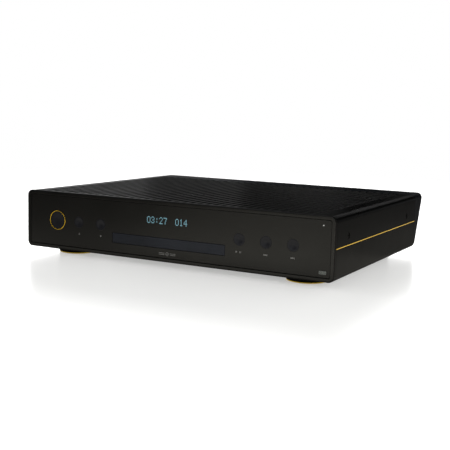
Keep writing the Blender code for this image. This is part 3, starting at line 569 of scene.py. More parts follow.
def plate(outer, holes, front, back, edge, steps=3):
    """A flat plate, less holes, whose front edges are rounded. Each outline is a function of its inset."""
    bm = bmesh.new()
    rims = []
    for outline, sign in [(outer, 1), *((hole, -1) for hole in holes)]:
        levels = [(0.0, back), *((sign * inset, front + depth) for inset, depth in quarter(edge, steps))]
        rows = [[bm.verts.new((a, y, b)) for a, b in outline(inset)] for inset, y in levels]
        for lower, upper in zip(rows, rows[1:]):
            bridge(bm, lower, upper)
        rims.append((rows[-1], rows[0]))
    for rings in zip(*rims):
        corners = [corner for ring in rings for corner in ring]
        for triangle in tessellate_polygon([[corner.co for corner in ring] for ring in rings]):
            bm.faces.new([corners[k] for k in triangle])
    return bm


def hoop(outline, width, front, back):
    """A flat ring between two planes in Y. Its outline is a function of its inset."""
    sides = ((0.0, front), (0.0, back), (width, back), (width, front))
    return loft([[(a, y, b) for a, b in outline(inset)] for inset, y in sides], closed=True)


def slab(outline, low, high, axis="Z", edge=0.0):
    """An outline pulled along an axis, with both rims softened by a bevel."""
    bm = loft([[in_space(axis, a, b, along) for a, b in outline] for along in (low, high)])
    if edge:
        rims = [e for e in bm.edges if len({round(v.co["XYZ".index(axis)], 6) for v in e.verts}) == 1]
        bmesh.ops.bevel(bm, geom=rims, offset=edge, segments=2, affect="EDGES", profile=0.5)
    return bm


def sunk(outline, near, far, edge=0.0):
    """A slab between two depths from the fascia's front face."""
    return slab(outline, at(near), at(far), "Y", edge)


def block(low, high, edge=0.0003, steps=2):
    """A box with all of its edges rounded."""
    bm = bmesh.new()
    size = Vector(high) - Vector(low)
    middle = (Vector(high) + Vector(low)) / 2
    bmesh.ops.create_cube(bm, size=1.0, matrix=Matrix.Translation(middle) @ Matrix.Diagonal((*size, 1.0)))
    bmesh.ops.bevel(bm, geom=bm.edges[:], offset=edge, segments=steps, affect="EDGES", profile=0.5)
    return bm


def carved(bm, *tools):
    """The skin bm less the closed skins of the tools."""
    objects = []
    for skin in (bm, joined(*tools)):
        bmesh.ops.recalc_face_normals(skin, faces=skin.faces[:])
        mesh = bpy.data.meshes.new("carving")
        skin.to_mesh(mesh)
        skin.free()
        objects.append(bpy.data.objects.new("carving", mesh))
        bpy.context.scene.collection.objects.link(objects[-1])
    target, tool = objects
    modifier = target.modifiers.new("cut", "BOOLEAN")
    modifier.operation = "DIFFERENCE"
    modifier.solver = "EXACT"
    modifier.object = tool
    graph = bpy.context.evaluated_depsgraph_get()
    result = bmesh.new()
    result.from_object(target, graph)
    for made in objects:
        mesh = made.data
        bpy.data.objects.remove(made)
        bpy.data.meshes.remove(mesh)
    return result


def ease(t):
    """Smooth step from 0 to 1."""
    t = max(0.0, min(1.0, t))
    return t * t * (3 - 2 * t)


# ---------------------------------------------------------------- case


def side_points(half, bottom, top, curl, bend, bed):
    """Right-hand outline of the case section: its curled foot, the strip's bed and the bend into the roof."""
    strip_low, strip_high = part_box("side_strip_right")
    low, high = strip_low.z - GAP / 2, strip_high.z + GAP / 2
    points = arc(curl, (half - curl, bottom + curl), -90, 0, 8)
    points += [(half, low), (half - bed, low), (half - bed, high), (half, high)]
    return points + arc(bend, (half - bend, top - bend), 0, 90, 12)


def groove_depth(offset):
    """Share of the full groove depth at a distance from the groove's middle."""
    return 1 - ease((abs(offset) - GROOVE_FLOOR_HALF) / (GROOVE_TOP_HALF - GROOVE_FLOOR_HALF))


def roof_points(top, depth):
    """Top of the case from right to left, with its grooves at a share of their full depth."""
    wall = GROOVE_TOP_HALF - GROOVE_FLOOR_HALF
    offsets = [GROOVE_FLOOR_HALF + wall * share for share in (0.0, 0.14, 0.3, 0.5, 0.7, 0.86, 1.0)]
    offsets = [*reversed(offsets), *(-offset for offset in offsets)]
    points = []
    for k in reversed(range(RIB_COUNT - 1)):
        middle = (k + 0.5 - (RIB_COUNT - 1) / 2) * RIB_PITCH
        points += [(middle + o, top - GROOVE_DEPTH * depth * groove_depth(o)) for o in offsets]
    return points


def shell(stations):
    """Skin of an inverted U from stations of (outer, inner) outlines with equally many points."""
    bm = bmesh.new()
    rows = [[bm.verts.new(point) for point in (*outer, *reversed(inner))] for outer, inner in stations]
    for lower, upper in zip(rows, rows[1:]):
        bridge(bm, lower, upper)
    for row in (rows[0], rows[-1]):
        for k in range(len(row) // 2 - 1):
            bm.faces.new([row[k], row[k + 1], row[-2 - k], row[-1 - k]])
    return bm


def case_section(inset, depth, bed, ribbed):
    """(outer, inner) outlines of the case in XZ, as lists with equally many points."""
    half, bottom, top = COVER_HIGH.x - inset, COVER_LOW.z + inset, COVER_HIGH.z - inset
    right = side_points(half, bottom, top, CASE_CURL - inset, COVER_BEND, bed)
    roof = roof_points(top, depth) if ribbed else [(x, top) for x in (0.1, 0.0, -0.1)]
    outer = [*right, *roof, *((-x, z) for x, z in reversed(right))]
    half, bottom, under = COVER_HIGH.x - SIDE_WALL, COVER_LOW.z + SIDE_WALL, COVER_HIGH.z - ROOF
    inside = side_points(half, bottom, under, CASE_CURL - SIDE_WALL, COVER_BEND - SIDE_WALL, 0.0)
    inner = [*inside, *((x, under) for x, _ in roof), *((-x, z) for x, z in reversed(inside))]
    return outer, inner


def make_cover():
    """The ribbed top with its bent sides, in one sheet."""
    edge = 0.0004
    rows = [(COVER_LOW.y, edge, 0.0), (COVER_LOW.y + edge * 0.3, edge * 0.3, 0.0), (COVER_LOW.y + edge, 0.0, 0.0)]
    for share in (0.0, 0.15, 0.3, 0.5, 0.7, 0.85, 1.0):
        rows.append((at(GROOVE_START) + GROOVE_RUN_OUT * (share - 0.5), 0.0, ease(share)))
    rows += [(0.0, 0.0, 1.0), (COVER_HIGH.y - edge, 0.0, 1.0), (COVER_HIGH.y, edge, 1.0)]
    stations = []
    for y, inset, depth in rows:
        section = case_section(inset, depth, STRIP_BED, True)
        stations.append([[(x, y, z) for x, z in outline] for outline in section])
    holes = []
    for end in ("front", "rear"):
        middle = centre_of(f"cover_screw_{end}_right")
        holes.append(slab(disc(SCREW_HOLE_RADIUS, (middle.y, middle.z)), -WIDTH, WIDTH, "X"))
    piece("ribbed_cover", carved(shell(stations), *holes), MATERIALS["black_coat"],
          replaces=["top_cover"], smooth=35)


def make_hood():
    """The plain rear end of the case, cut off aslant, with a rounded trailing edge."""
    low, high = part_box("rear_hood")
    top_length = high.y - low.y

    def placed(points, start, share, back_off):
        made = []
        for x, z in points:
            height = (z - COVER_LOW.z) / (COVER_HIGH.z - COVER_LOW.z)
            length = HOOD_BOTTOM_LENGTH + (top_length - HOOD_BOTTOM_LENGTH) * height
            reach = length * share - back_off
            narrow = 1 - HOOD_TAPER / (WIDTH / 2) * max(reach, 0.0) / top_length
            made.append((x * narrow, low.y + start + reach, z))
        return made

    rows = [(0.0003, 0.0, 0.0, 0.0), (0.0, 0.0003, 0.0, 0.0), (0.0, 0.0, 0.5, 0.0)]
    rows += [(inset, 0.0, 1.0, back_off) for inset, back_off in quarter(0.0008, 4)]
    stations = []
    for inset, *place in rows:
        stations.append([placed(outline, *place) for outline in case_section(inset, 0.0, 0.0, False)])
    # the shell wears the coat lightened with painted sheen
    piece("hood_shell", shell(stations), HOOD_COAT_AND_SHEEN, replaces=["rear_hood"], smooth=35)


def make_strips():
    """The gold strips let into the sides, and the screws that hold the cover."""
    for side in ("left", "right"):
        strip = block(*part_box(f"side_strip_{side}"), 0.0002, 3)
        piece(f"gold_line_{side}", strip, MATERIALS["gold"], replaces=[f"side_strip_{side}"])
        for end in ("front", "rear"):
            make_cover_screw(f"cover_screw_{end}_{side}")


def make_cover_screw(name):
    """A button-head screw with a hexagon socket, its head facing away from the case."""
    low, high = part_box(name)
    middle = centre_of(name)
    sign = 1 if middle.x > 0 else -1
    outer = high.x if sign > 0 else -low.x
    radius = (high.z - low.z) / 2
    shank, root, shoulder = outer - 0.0060, outer - 0.0022, outer - 0.0007
    profile = [(0.0, shank), (0.0015, shank), (0.0015, root), (radius, root), (radius, shoulder)]
    profile += [(radius * 0.72, outer), (0.0, outer)]
    profile = [(r, sign * height) for r, height in profile]
    head = turned(profile, (0.0, middle.y, middle.z), "X", 40, 0.0004)
    ends = sorted((sign * (outer - 0.0012), sign * (outer + 0.001)))
    socket = slab(disc(0.0013, (middle.y, middle.z), 6), *ends, "X")
    piece(f"{name}_head", carved(head, socket), SCREW_BLACK, replaces=[name])


# ---------------------------------------------------------------- fascia


def make_fascia_rim():
    """The raised frame round the fascia, with a ledge behind the sheet."""
    middle, half = centre_of("fascia_frame"), halves_of("fascia_frame")
    ledge, ledge_front, step, back = RIM_WIDTH + 0.005, 0.0042, 0.0044, 0.007
    profile = quarter(0.0016, 6)
    profile += [(RIM_WIDTH - depth, inset) for inset, depth in quarter(0.0005, 4)]
    profile += [(RIM_WIDTH, ledge_front), (ledge, ledge_front), (ledge, back), (0.0040, back)]
    profile += [(0.0040, step), (0.0002, step), (0.0, ledge_front)]
    loops = []
    for inset, depth in profile:
        corner = max(RIM_CORNER - inset, 0.0012)
        outline = rounded(half.x - inset, half.z - inset, corner, (middle.x, middle.z), 12)
        loops.append([(x, at(depth), z) for x, z in outline])
    piece("fascia_rim", loft(loops, closed=True), MATERIALS["rim_black"],
          replaces=["fascia_frame"], smooth=35)


def make_fascia_panel():
    """The front sheet, with holes for the door, the buttons and the light."""
    low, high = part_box("fascia_panel")
    ring, led = centre_of("power_ring"), centre_of("status_led")
    holes = [square_face("tray_door", 0.0009, DOOR_MARGIN)]
    holes.append(round_face(halves_of("power_ring").x + 0.0001, ring.x, ring.z))
    for name in BUTTONS:
        middle = centre_of(f"{name}_button")
        holes.append(round_face(DISH_RADIUS + 0.00008, middle.x, middle.z))
    holes.append(round_face(LED_RADIUS + 0.00005, led.x, led.z))
    bm = plate(square_face("fascia_panel", 0.0024, steps=8), holes, low.y, high.y, 0.00012)
    piece("fascia_sheet", bm, MATERIALS["panel_black"], replaces=["fascia_panel"], smooth=30)


def make_button(name, radius, dish):
    """A dished button with a soft rim, a flange behind the panel and a stem towards its switch."""
    low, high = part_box(f"{name}_button")
    flange_radius, stem_end = (high.x - low.x) / 2, high.y - FRONT
    rim, flange_back = 0.0003, BUTTON_FLANGE + 0.001
    profile = []
    for share in (k / 12 for k in range(13)):
        sink = dish * (math.cos(math.pi * share) + 1) / 2 * 0.98
        profile.append((radius * 0.96 * share, BUTTON_FACE + sink))
    profile += [(radius - rim * 0.35, BUTTON_FACE + rim * 0.15), (radius, BUTTON_FACE + rim)]
    profile += [(radius, BUTTON_FLANGE), (flange_radius, BUTTON_FLANGE), (flange_radius, flange_back)]
    profile += [(0.002, flange_back), (0.002, stem_end), (0.0, stem_end)]
    bm = turned(profile, front_of(f"{name}_button"), "Y")
    piece(f"{name}_dish", bm, MATERIALS["button_black"], body=f"{name}_button",
          replaces=[f"{name}_button"], smooth=35)


def make_controls():
    """The gold ring with the power button in it, the row of buttons and the status light."""
    outer, back = halves_of("power_ring").x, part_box("power_ring")[1].y - FRONT
    inner = outer - RING_WIDTH
    band = [(inner, back), (inner, 0.0003), (outer, 0.0003), (outer, back)]
    bm = turned(band, front_of("power_ring"), "Y", 96, 0.0003, 4, ring=True)
    piece("gold_ring", bm, MATERIALS["gold"], replaces=["power_ring"])
    make_button("power", inner - GAP / 2, 0.0012)
    for name in BUTTONS:
        make_button(name, DISH_RADIUS, 0.0014)

    front, back = (side.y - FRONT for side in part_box("status_led"))
    profile = [(0.0, front), (LED_RADIUS * 0.6, front + 0.00008), (LED_RADIUS, front + 0.0003)]
    profile += [(LED_RADIUS, back), (0.0, back)]
    bm = turned(profile, front_of("status_led"), "Y", 24)
    piece("led_lens", bm, MATERIALS["light_lens"], replaces=["status_led"])


def make_door():
    """The tray's front, with its front edges rounded."""
    low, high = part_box("tray_door")
    bm = plate(square_face("tray_door", 0.0008), [], low.y, high.y, 0.0004, steps=4)
    piece("door_face", bm, DOOR_SATIN, body="tray", replaces=["tray_door"], smooth=35)


def printed(outline):
    """An outline printed or lit on the fascia sheet."""
    return sunk(outline, PRINT_FRONT, PRINT_BACK)


def tile(x, z, half_x, half_z):
    return printed(rounded(half_x, half_z, min(half_x, half_z) * 0.3, (x, z), 1))


def make_readout():
    """Running time and track number in dots of light."""
    dots = []
    for text, left in READOUT:
        for place, digit in enumerate(text):
            for row, line in enumerate(DIGITS[digit]):
                for column, mark in enumerate(line):
                    if mark == "#":
                        x = left + place * DOT_X * 6 + column * DOT_X
                        dots.append(tile(x, READOUT_Z + (6 - row) * DOT_Z, DOT_X * 0.42, DOT_Z * 0.42))
    piece("readout_dots", joined(*dots), PHOSPHOR)


def arrow(x, half, length, sign):
    """A triangle that points right when sign is 1 and left when -1."""
    points = [(x, ICON_Z - half), (x + sign * length, ICON_Z), (x, ICON_Z + half)]
    return printed(points[::sign])


def make_icons():
    """Printed control marks under the buttons: shapes only."""
    place = {name: centre_of(f"{name}_button").x for name in BUTTONS}
    x, foot = place["eject"] + 0.001, ICON_Z - 0.0004
    upward = printed([(x - 0.0012, foot), (x + 0.0012, foot), (x, foot + 0.0016)])
    piece("mark_eject", joined(upward, tile(x, ICON_Z - 0.0012, 0.0012, 0.0003)), PRINT_DIM)
    piece("mark_stop", tile(place["stop"] + 0.0005, ICON_Z, 0.0010, 0.0010), PRINT)
    x = place["play"]
    bars = [tile(x + offset, ICON_Z, 0.0003, 0.0011) for offset in (0.0012, 0.0026)]
    piece("mark_play", joined(arrow(x - 0.0040, 0.0012, 0.0022, 1), *bars), PRINT)
    for name, sign in (("skip_back", -1), ("skip_forward", 1)):
        x = place[name]
        skip = [arrow(x - sign * offset, 0.0011, 0.0019, sign) for offset in (0.0022, 0.0002)]
        skip.append(tile(x + sign * 0.0021, ICON_Z, 0.0003, 0.0011))
        piece(f"mark_{name}", joined(*skip), PRINT)


def make_emblem():
    """A plain disc mark between two pairs of fine rules, where a maker would print a name."""
    front, back = at(PRINT_FRONT), at(PRINT_BACK)
    marks = [hoop(round_face(0.0023, EMBLEM_X, EMBLEM_Z, 32), 0.0005, front, back)]
    marks.append(hoop(round_face(0.0009, EMBLEM_X, EMBLEM_Z, 20), 0.0004, front, back))
    for sign in (-1, 1):
        for row in (-0.0009, 0.0009):
            marks.append(tile(EMBLEM_X + sign * 0.0078, EMBLEM_Z + row, 0.0040, 0.0003))
    piece("disc_emblem", joined(*marks), PRINT)


def make_badge():
    """A small light plate with a ring and three dots sunk into it."""
    low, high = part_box("badge_plate")
    x, _, z = centre_of("badge_plate")
    bm = plate(square_face("badge_plate", 0.0007, steps=5), [], low.y, high.y, 0.00015)
    piece("badge_tile", bm, BADGE, replaces=["badge_plate"])
    front, back = low.y - 0.00005, low.y + 0.0001
    inlay = [hoop(round_face(0.0012, x - 0.0022, z, 24), 0.0004, front, back)]
    for offset in (0.0008, 0.0020, 0.0032):
        inlay.append(slab(disc(0.0004, (x + offset, z), 12), front, back, "Y"))
    piece("badge_inlay", joined(*inlay), BADGE_INK)


# ---------------------------------------------------------------- feet, floor pan and tray


def make_feet():
    """Four dished feet, each with a gold band round its tread and a bolt in its middle."""
    for corner in ("front_left", "front_right", "rear_left", "rear_right"):
        x, y, _ = centre_of(f"foot_{corner}")
        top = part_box(f"foot_{corner}")[1].z
        band_low, band_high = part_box(f"foot_ring_{corner}")
        radius = (band_high.x - band_low.x) / 2
        bed = radius - 0.0012
        profile = [(0.0, 0.0012), (0.0030, 0.0012), (0.0036, 0.0006), (0.0080, 0.0006), (0.0090, 0.0)]
        profile += [(radius - 0.0028, 0.0), (bed, 0.0006), (bed, band_high.z + GAP), (radius + 0.0004, 0.0024)]
        profile += [(halves_of(f"foot_{corner}").x, top), (0.0, top)]
        foot = turned(profile, (x, y, 0.0), "Z", 96, 0.0005)
        bolt = screw_head((x, y, 0.0014), "Z", -1, 0.0024, 0.0011)
        piece(f"foot_bolt_{corner}", bolt, SCREW_BLACK)
        # the pads wear their black deepened with painted shadow
        piece(f"foot_pad_{corner}", foot, FOOT_BLACK_AND_SHADOW, replaces=[f"foot_{corner}"])
        inner = bed + GAP
        band = [(inner, band_low.z), (radius, band_low.z), (radius, band_high.z), (inner, band_high.z)]
        band = turned(band, (x, y, 0.0), "Z", 96, 0.0003, ring=True)
        piece(f"foot_band_{corner}", band, MATERIALS["gold"], replaces=[f"foot_ring_{corner}"])


def screw_head(centre, axis, sign, radius=0.0030, height=0.0016):
    """A domed head with a cross recess, facing along the axis when sign is 1 and against it when -1."""
    profile = [(0.0, -0.0004), (radius, -0.0004), (radius, height * 0.35), (radius * 0.8, height * 0.85)]
    profile = [(r, sign * h) for r, h in (*profile, (0.0, height))]
    head = turned(profile, centre, axis, 32, 0.0005)
    middle = [value for name, value in zip("XYZ", centre) if name != axis]
    along = centre["XYZ".index(axis)]
    ends = sorted((along + sign * height * 0.35, along + sign * height * 2))
    long, short = radius * 0.62, radius * 0.14
    cross = [slab(rounded(a, b, short * 0.5, middle, 2), *ends, axis) for a, b in ((long, short), (short, long))]
    return reduce(carved, cross, head)


def pan_cutters(low, middle_y):
    """Vent slots through the floor pan, and the beads pressed into it."""
    for x in (-VENT_X, VENT_X):
        for row in range(VENT_ROWS):
            y = at(VENT_START + VENT_PITCH * row)
            slot = rounded(VENT_HALF_LENGTH, VENT_HALF_WIDTH, VENT_HALF_WIDTH * 0.95, (x, y), 5)
            yield slab(slot, low - 0.002, low + PAN_SHEET + 0.002)
    beads = [(x, middle_y, BEAD_HALF_WIDTH, 0.085) for x in (-0.045, -0.015, 0.015, 0.045)]
    beads += [(0.0, at(depth), 0.120, BEAD_HALF_WIDTH) for depth in (0.022, 0.288)]
    for x, y, half_x, half_y in beads:
        bead = rounded(half_x, half_y, BEAD_HALF_WIDTH - 0.0001, (x, y), 6)
        yield slab(bead, low - 0.002, low + BEAD_DEPTH)


def make_pan():
    """The floor pan, folded up inside the curled case, with vents, pressed beads and screws."""
    low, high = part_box("base_pan")
    half = COVER_HIGH.x - CASE_CURL - 2 * GAP
    middle_y, half_y = (low.y + high.y) / 2, (high.y - low.y) / 2
    top = low.z + PAN_SHEET
    floor = slab(rounded(half, half_y, 0.003, (0.0, middle_y)), low.z, top, edge=0.0003)
    skins = [carved(floor, *pan_cutters(low.z, middle_y))]
    for sign in (-1, 1):
        inner, outer = sorted((sign * half, sign * (half - PAN_SHEET)))
        skins.append(block((inner, low.y + 0.012, top - 0.0001), (outer, high.y - 0.012, high.z)))
    piece("floor_pan", joined(*skins), MATERIALS["zinc_plate"], replaces=["base_pan"])
    heads = [screw_head((sign * x, at(depth), low.z), "Z", -1) for sign in (-1, 1) for x, depth in PAN_SCREWS]
    piece("pan_screws", joined(*heads), SCREW_BLACK)


def rack_plan():
    """Plan of the tray's lower layer: teeth along its right side, and a tooth gap beside the drive gear."""
    pitch = math.pi * RACK_MODULE
    root = RACK_PITCH_X - 0.95 * RACK_MODULE
    mesh_y = at(RACK_MESH_DEPTH)
    points = [(TRAY_LOW.x, TRAY_LOW.y), (root, TRAY_LOW.y)]
    tooth = math.ceil((TRAY_LOW.y + pitch / 2 - mesh_y) / pitch - 0.5)
    while mesh_y + (tooth + 1.0) * pitch < TRAY_HIGH.y:
        middle = mesh_y + (tooth + 0.5) * pitch
        points += [(RACK_PITCH_X + height * RACK_MODULE, middle + offset * pitch) for offset, height in RACK_TOOTH]
        tooth += 1
    return [*points, (root, TRAY_HIGH.y), (TRAY_LOW.x, TRAY_HIGH.y)]


def disc_recess(radius, floor):
    """Cutter for a disc's seat, with a rounded root and a flared lip."""
    lip, over = TRAY_HIGH.z, TRAY_HIGH.z + 0.01
    profile = [(0.0, floor), (radius, floor), (radius, lip - 0.0008), (radius + 0.0008, lip + 0.0001)]
    profile += [(radius + 0.0008, over), (0.0, over)]
    return turned(profile, (0.0, at(DISC_DEPTH), 0.0), "Z", 128, 0.0005)


def tray_cutters():
    """The slot for the spindle and the laser, open at the back, and the seats of both disc sizes."""
    slot_front = at(DISC_DEPTH) - 0.019
    slot_back = TRAY_HIGH.y + 0.02
    middle, half_length = (slot_front + slot_back) / 2, (slot_back - slot_front) / 2
    slot = rounded(TRAY_SLOT_HALF, half_length, 0.0168, (0.0, middle), 12)
    large = disc_recess(LARGE_DISC_RADIUS, LARGE_DISC_FLOOR)
    small = disc_recess(SMALL_DISC_RADIUS, SMALL_DISC_FLOOR)
    return [slab(slot, 0.0, 0.05), large, small]


def make_tray():
    """The sliding tray: seats for both disc sizes, a slot for the spindle and laser, and its rack."""
    middle_y, half_y = (TRAY_LOW.y + TRAY_HIGH.y) / 2, (TRAY_HIGH.y - TRAY_LOW.y) / 2
    upper = slab(rounded(TRAY_HIGH.x, half_y, 0.003, (0.0, middle_y)), TRAY_LEDGE, TRAY_HIGH.z, edge=0.0005)
    upper = reduce(carved, tray_cutters(), upper)
    lower = slab(rack_plan(), TRAY_LOW.z, TRAY_LEDGE, edge=0.0001)
    lower = reduce(carved, tray_cutters(), lower)
    pockets = []
    for x in (-0.055, -0.040, -0.025, 0.030, 0.045):
        for depth in (0.018, 0.040, 0.140, 0.165):
            pocket = rounded(0.0055, 0.0090, 0.0012, (x, at(depth)), 3)
            pockets.append(slab(pocket, TRAY_LOW.z - 0.001, TRAY_LOW.z + 0.0012))
    lower = carved(lower, *pockets)
    piece("disc_tray", joined(upper, lower), TRAY_BLACK, body="tray", replaces=["tray"],
          smooth=30)


# ---------------------------------------------------------------- sockets and mains inlet


def make_sockets():
    """Round gilt sockets, each with a nut, a coloured insulator and a sleeve for the pin."""
    for name, colour in SOCKETS.items():
        centre = front_of(name)
        place = (centre[0], centre[2])
        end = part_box(name)[1].y - FRONT
        washer, shank, barrel, bore, root = 0.0058, 0.0046, BARREL_RADIUS, BORE_RADIUS, 0.2962
        foot, rest = REAR_FACE + GAP, REAR_FACE + 0.0009
        profile = [(0.0, root), (shank, root), (shank, foot), (washer, foot), (washer, rest)]
        profile += [(barrel, rest), (barrel, end), (bore, end), (bore, BORE_BOTTOM), (0.0, BORE_BOTTOM)]
        skin = turned(profile, centre, "Y", 48, 0.0003)
        nut = sunk(disc(0.0066, place, 6), foot, REAR_FACE + 0.0017, 0.0003)
        nut = carved(nut, sunk(disc(barrel - 0.0001, place, 32), 0.30, PAST_REAR))
        piece(f"{name}_barrel", joined(skin, nut), GILT, replaces=[name])
        inner, outer, low, high = 0.0017, bore + 0.0001, BORE_BOTTOM - 0.0001, end - 0.0006
        ring = [(inner, low), (inner, high), (outer, high), (outer, low)]
        piece(f"{name}_insulator", turned(ring, centre, "Y", 48, 0.0003, ring=True), colour)
        inner, outer, high = 0.0014, 0.0018, end - 0.0004
        sleeve = [(inner, low), (inner, high), (outer, high), (outer, low)]
        piece(f"{name}_contact", turned(sleeve, centre, "Y", 32, 0.0001, 2, ring=True), GILT)


def make_optical():
    """A square optical socket with a chamfered mouth, and its red emitter at the bottom of the well."""
    low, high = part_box("optical_port")
    x, _, z = centre_of("optical_port")
    body = slab(square_face("optical_port", 0.0006, steps=3)(0.0), low.y, high.y, "Y", 0.0003)
    well = sunk(rounded(WELL_HALF, WELL_HALF, 0.0008, (x, z), 4), 0.3003, PAST_REAR)
    mouth = []
    for half, y in ((WELL_HALF, high.y - 0.0006), (WELL_HALF + 0.0007, high.y + 0.0001)):
        mouth.append([(a, y, b) for a, b in rounded(half, half, half * 0.27, (x, z), 4)])
    skin = reduce(carved, (well, loft(mouth)), body)
    piece("optical_shell", skin, MATERIALS["black_plastic"], replaces=["optical_port"])
    dome = [(0.0, 0.3001), (0.0013, 0.3001), (0.0013, 0.3008), (0.0006, 0.3013), (0.0, 0.3014)]
    piece("optical_emitter", turned(dome, front_of("optical_port"), "Y", 32, 0.0002, 2), EMITTER)


def make_mains():
    """The mains module: a flanged housing with bays for the inlet and the rocker, and the inlet's blades."""
    low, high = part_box("mains_inlet")
    module_x, _, z = centre_of("mains_inlet")
    inlet_x = module_x + INLET_OFFSET
    foot = REAR_FACE + GAP
    half_mouth = [(0.0122, 0.0083), (0.0122, -0.0045), (0.0085, -0.0083)]
    mouth = [*((inlet_x - a, z + b) for a, b in half_mouth), *((inlet_x + a, z + b) for a, b in half_mouth[::-1])]
    mouth = softened(mouth, 0.001, 3)
    rocker_bay = rounded(0.0064, 0.0111, 0.0006, (ROCKER_X, z), 3)
    flange = slab(square_face("mains_inlet", 0.002, steps=5)(0.0), at(foot), high.y, "Y", 0.0005)
    housing = slab(rounded(0.0345, 0.0130, 0.001, (module_x, z), 3), low.y, at(foot), "Y")
    skins = []
    for skin in (flange, housing):
        skins.append(carved(skin, sunk(mouth, 0.290, PAST_REAR), sunk(rocker_bay, 0.292, PAST_REAR)))
    piece("mains_module", joined(*skins), MATERIALS["black_plastic"], replaces=["mains_inlet"])
    blades = []
    for offset, rise in ((-0.007, -0.0015), (0.0, 0.0025), (0.007, -0.0015)):
        x, middle = inlet_x + offset, z + rise
        blades.append(block((x - 0.001, at(0.2895), middle - 0.002), (x + 0.001, at(0.3044), middle + 0.002), 0.0004))
    piece("mains_blades", joined(*blades), MATERIALS["steel"])
    ridge = []
    for inset, y in ((0.0, high.y - 0.0002), (0.0005, high.y + 0.0005)):
        ridge.append([(a, y, b) for a, b in rounded(0.0150 - inset, 0.0108 - inset, 0.0015, (inlet_x, z), 4)])
    piece("mains_ridge", carved(loft(ridge), sunk(mouth, 0.290, PAST_REAR)), MATERIALS["black_plastic"])
    make_rocker(z)


def make_rocker(z):
    """The mains rocker, with its two faces meeting in a shallow valley and a plain mark on each."""
    end, back = ROCKER_RADIUS * 0.96, ROCKER_RADIUS - 0.0004
    outline = [(0.0030, -end), (0.0012, 0.0), (0.0030, end)]
    outline += [(back * 0.9 * math.cos(a), back * math.sin(a))
                for a in (math.pi * (0.5 + step / 20) for step in range(21))]
    skin = slab(softened(outline, 0.0006, 3), -0.0059, 0.0059, "X", 0.0004)
    turn = Matrix.Rotation(ROCKER_TILT, 4, "X")
    place = Matrix.Translation((ROCKER_X, at(ROCKER_PIVOT_DEPTH), z)) @ turn
    skin.transform(place)
    piece("rocker_cap", skin, MATERIALS["black_plastic"], body="mains_rocker",
          replaces=["mains_rocker"])
    stroke = slab(rounded(0.0003, 0.0015, 0.0002, (0.0, 0.0), 2), -0.00004, 0.00006, "Y")
    ring = hoop(round_face(0.0016, 0.0, 0.0, 32), 0.0005, 0.00006, -0.00004)
    slope = math.atan2(0.0018, end)
    for mark, side in ((stroke, 1), (ring, -1)):
        lie = Matrix.Rotation(-side * slope, 4, "X")
        mark.transform(place @ Matrix.Translation((0.0, 0.0021, side * 0.0050)) @ lie)
    piece("rocker_marks", joined(stroke, ring), PRINT, body="mains_rocker")


def make_rear_details():
    """Printed lines round and under the sockets, and the screws of the rear panel."""
    left, right, coaxial = (centre_of(name) for name in SOCKETS)
    optical = centre_of("optical_port")
    z = left.z
    lines = []
    for x in ((left.x + right.x) / 2, (coaxial.x + optical.x) / 2):
        def frame_face(inset, x=x):
            return rounded(0.026 - inset, 0.0125 - inset, 0.003 - inset, (x, z), 6)

        lines.append(hoop(frame_face, LINE_WIDTH, at(LINE_BACK), at(LINE_FRONT)))
    for x in (left.x, right.x, coaxial.x, optical.x):
        lines.append(sunk(rounded(0.0035, 0.0003, 0.0002, (x, z - 0.0095), 2), LINE_FRONT, LINE_BACK))
    piece("rear_prints", joined(*lines), PRINT_DIM)
    heads = [screw_head((sign * x, at(REAR_FACE), z), "Y", 1) for sign in (-1, 1) for x, z in REAR_SCREWS]
    piece("rear_screws", joined(*heads), SCREW_BLACK)


# ---------------------------------------------------------------- carried-over nodes


def dress_frame():
    """Gives each node that still shows its slot's finish and softened edges."""
    for subpart in frame["record"]["subparts"]:
        name = subpart["node"]
        shown = frame["nodes"][name]
        if shown.hide_render:
            continue
        shown.data.materials.clear()
        shown.data.materials.append(MATERIALS[subpart["material_slot"]])
        weld = shown.modifiers.new("weld", "WELD")
        weld.merge_threshold = 0.00001
        flat = shown.modifiers.new("flat", "DECIMATE")
        flat.decimate_type = "DISSOLVE"
        flat.angle_limit = math.radians(1.0)
        soft = shown.modifiers.new("soft", "BEVEL")
        soft.width = THIN_EDGE if name in THIN_WALLED else FRAME_EDGE
        soft.segments = 2
        soft.limit_method = "ANGLE"
        soft.angle_limit = math.radians(40)


# ---------------------------------------------------------------- stage


def mix_shaders(tree, factor, first, second):
    made = node(tree, "ShaderNodeMixShader", Fac=factor)
    tree.links.new(first, made.inputs[1])
    tree.links.new(second, made.inputs[2])
    return made.outputs["Shader"]


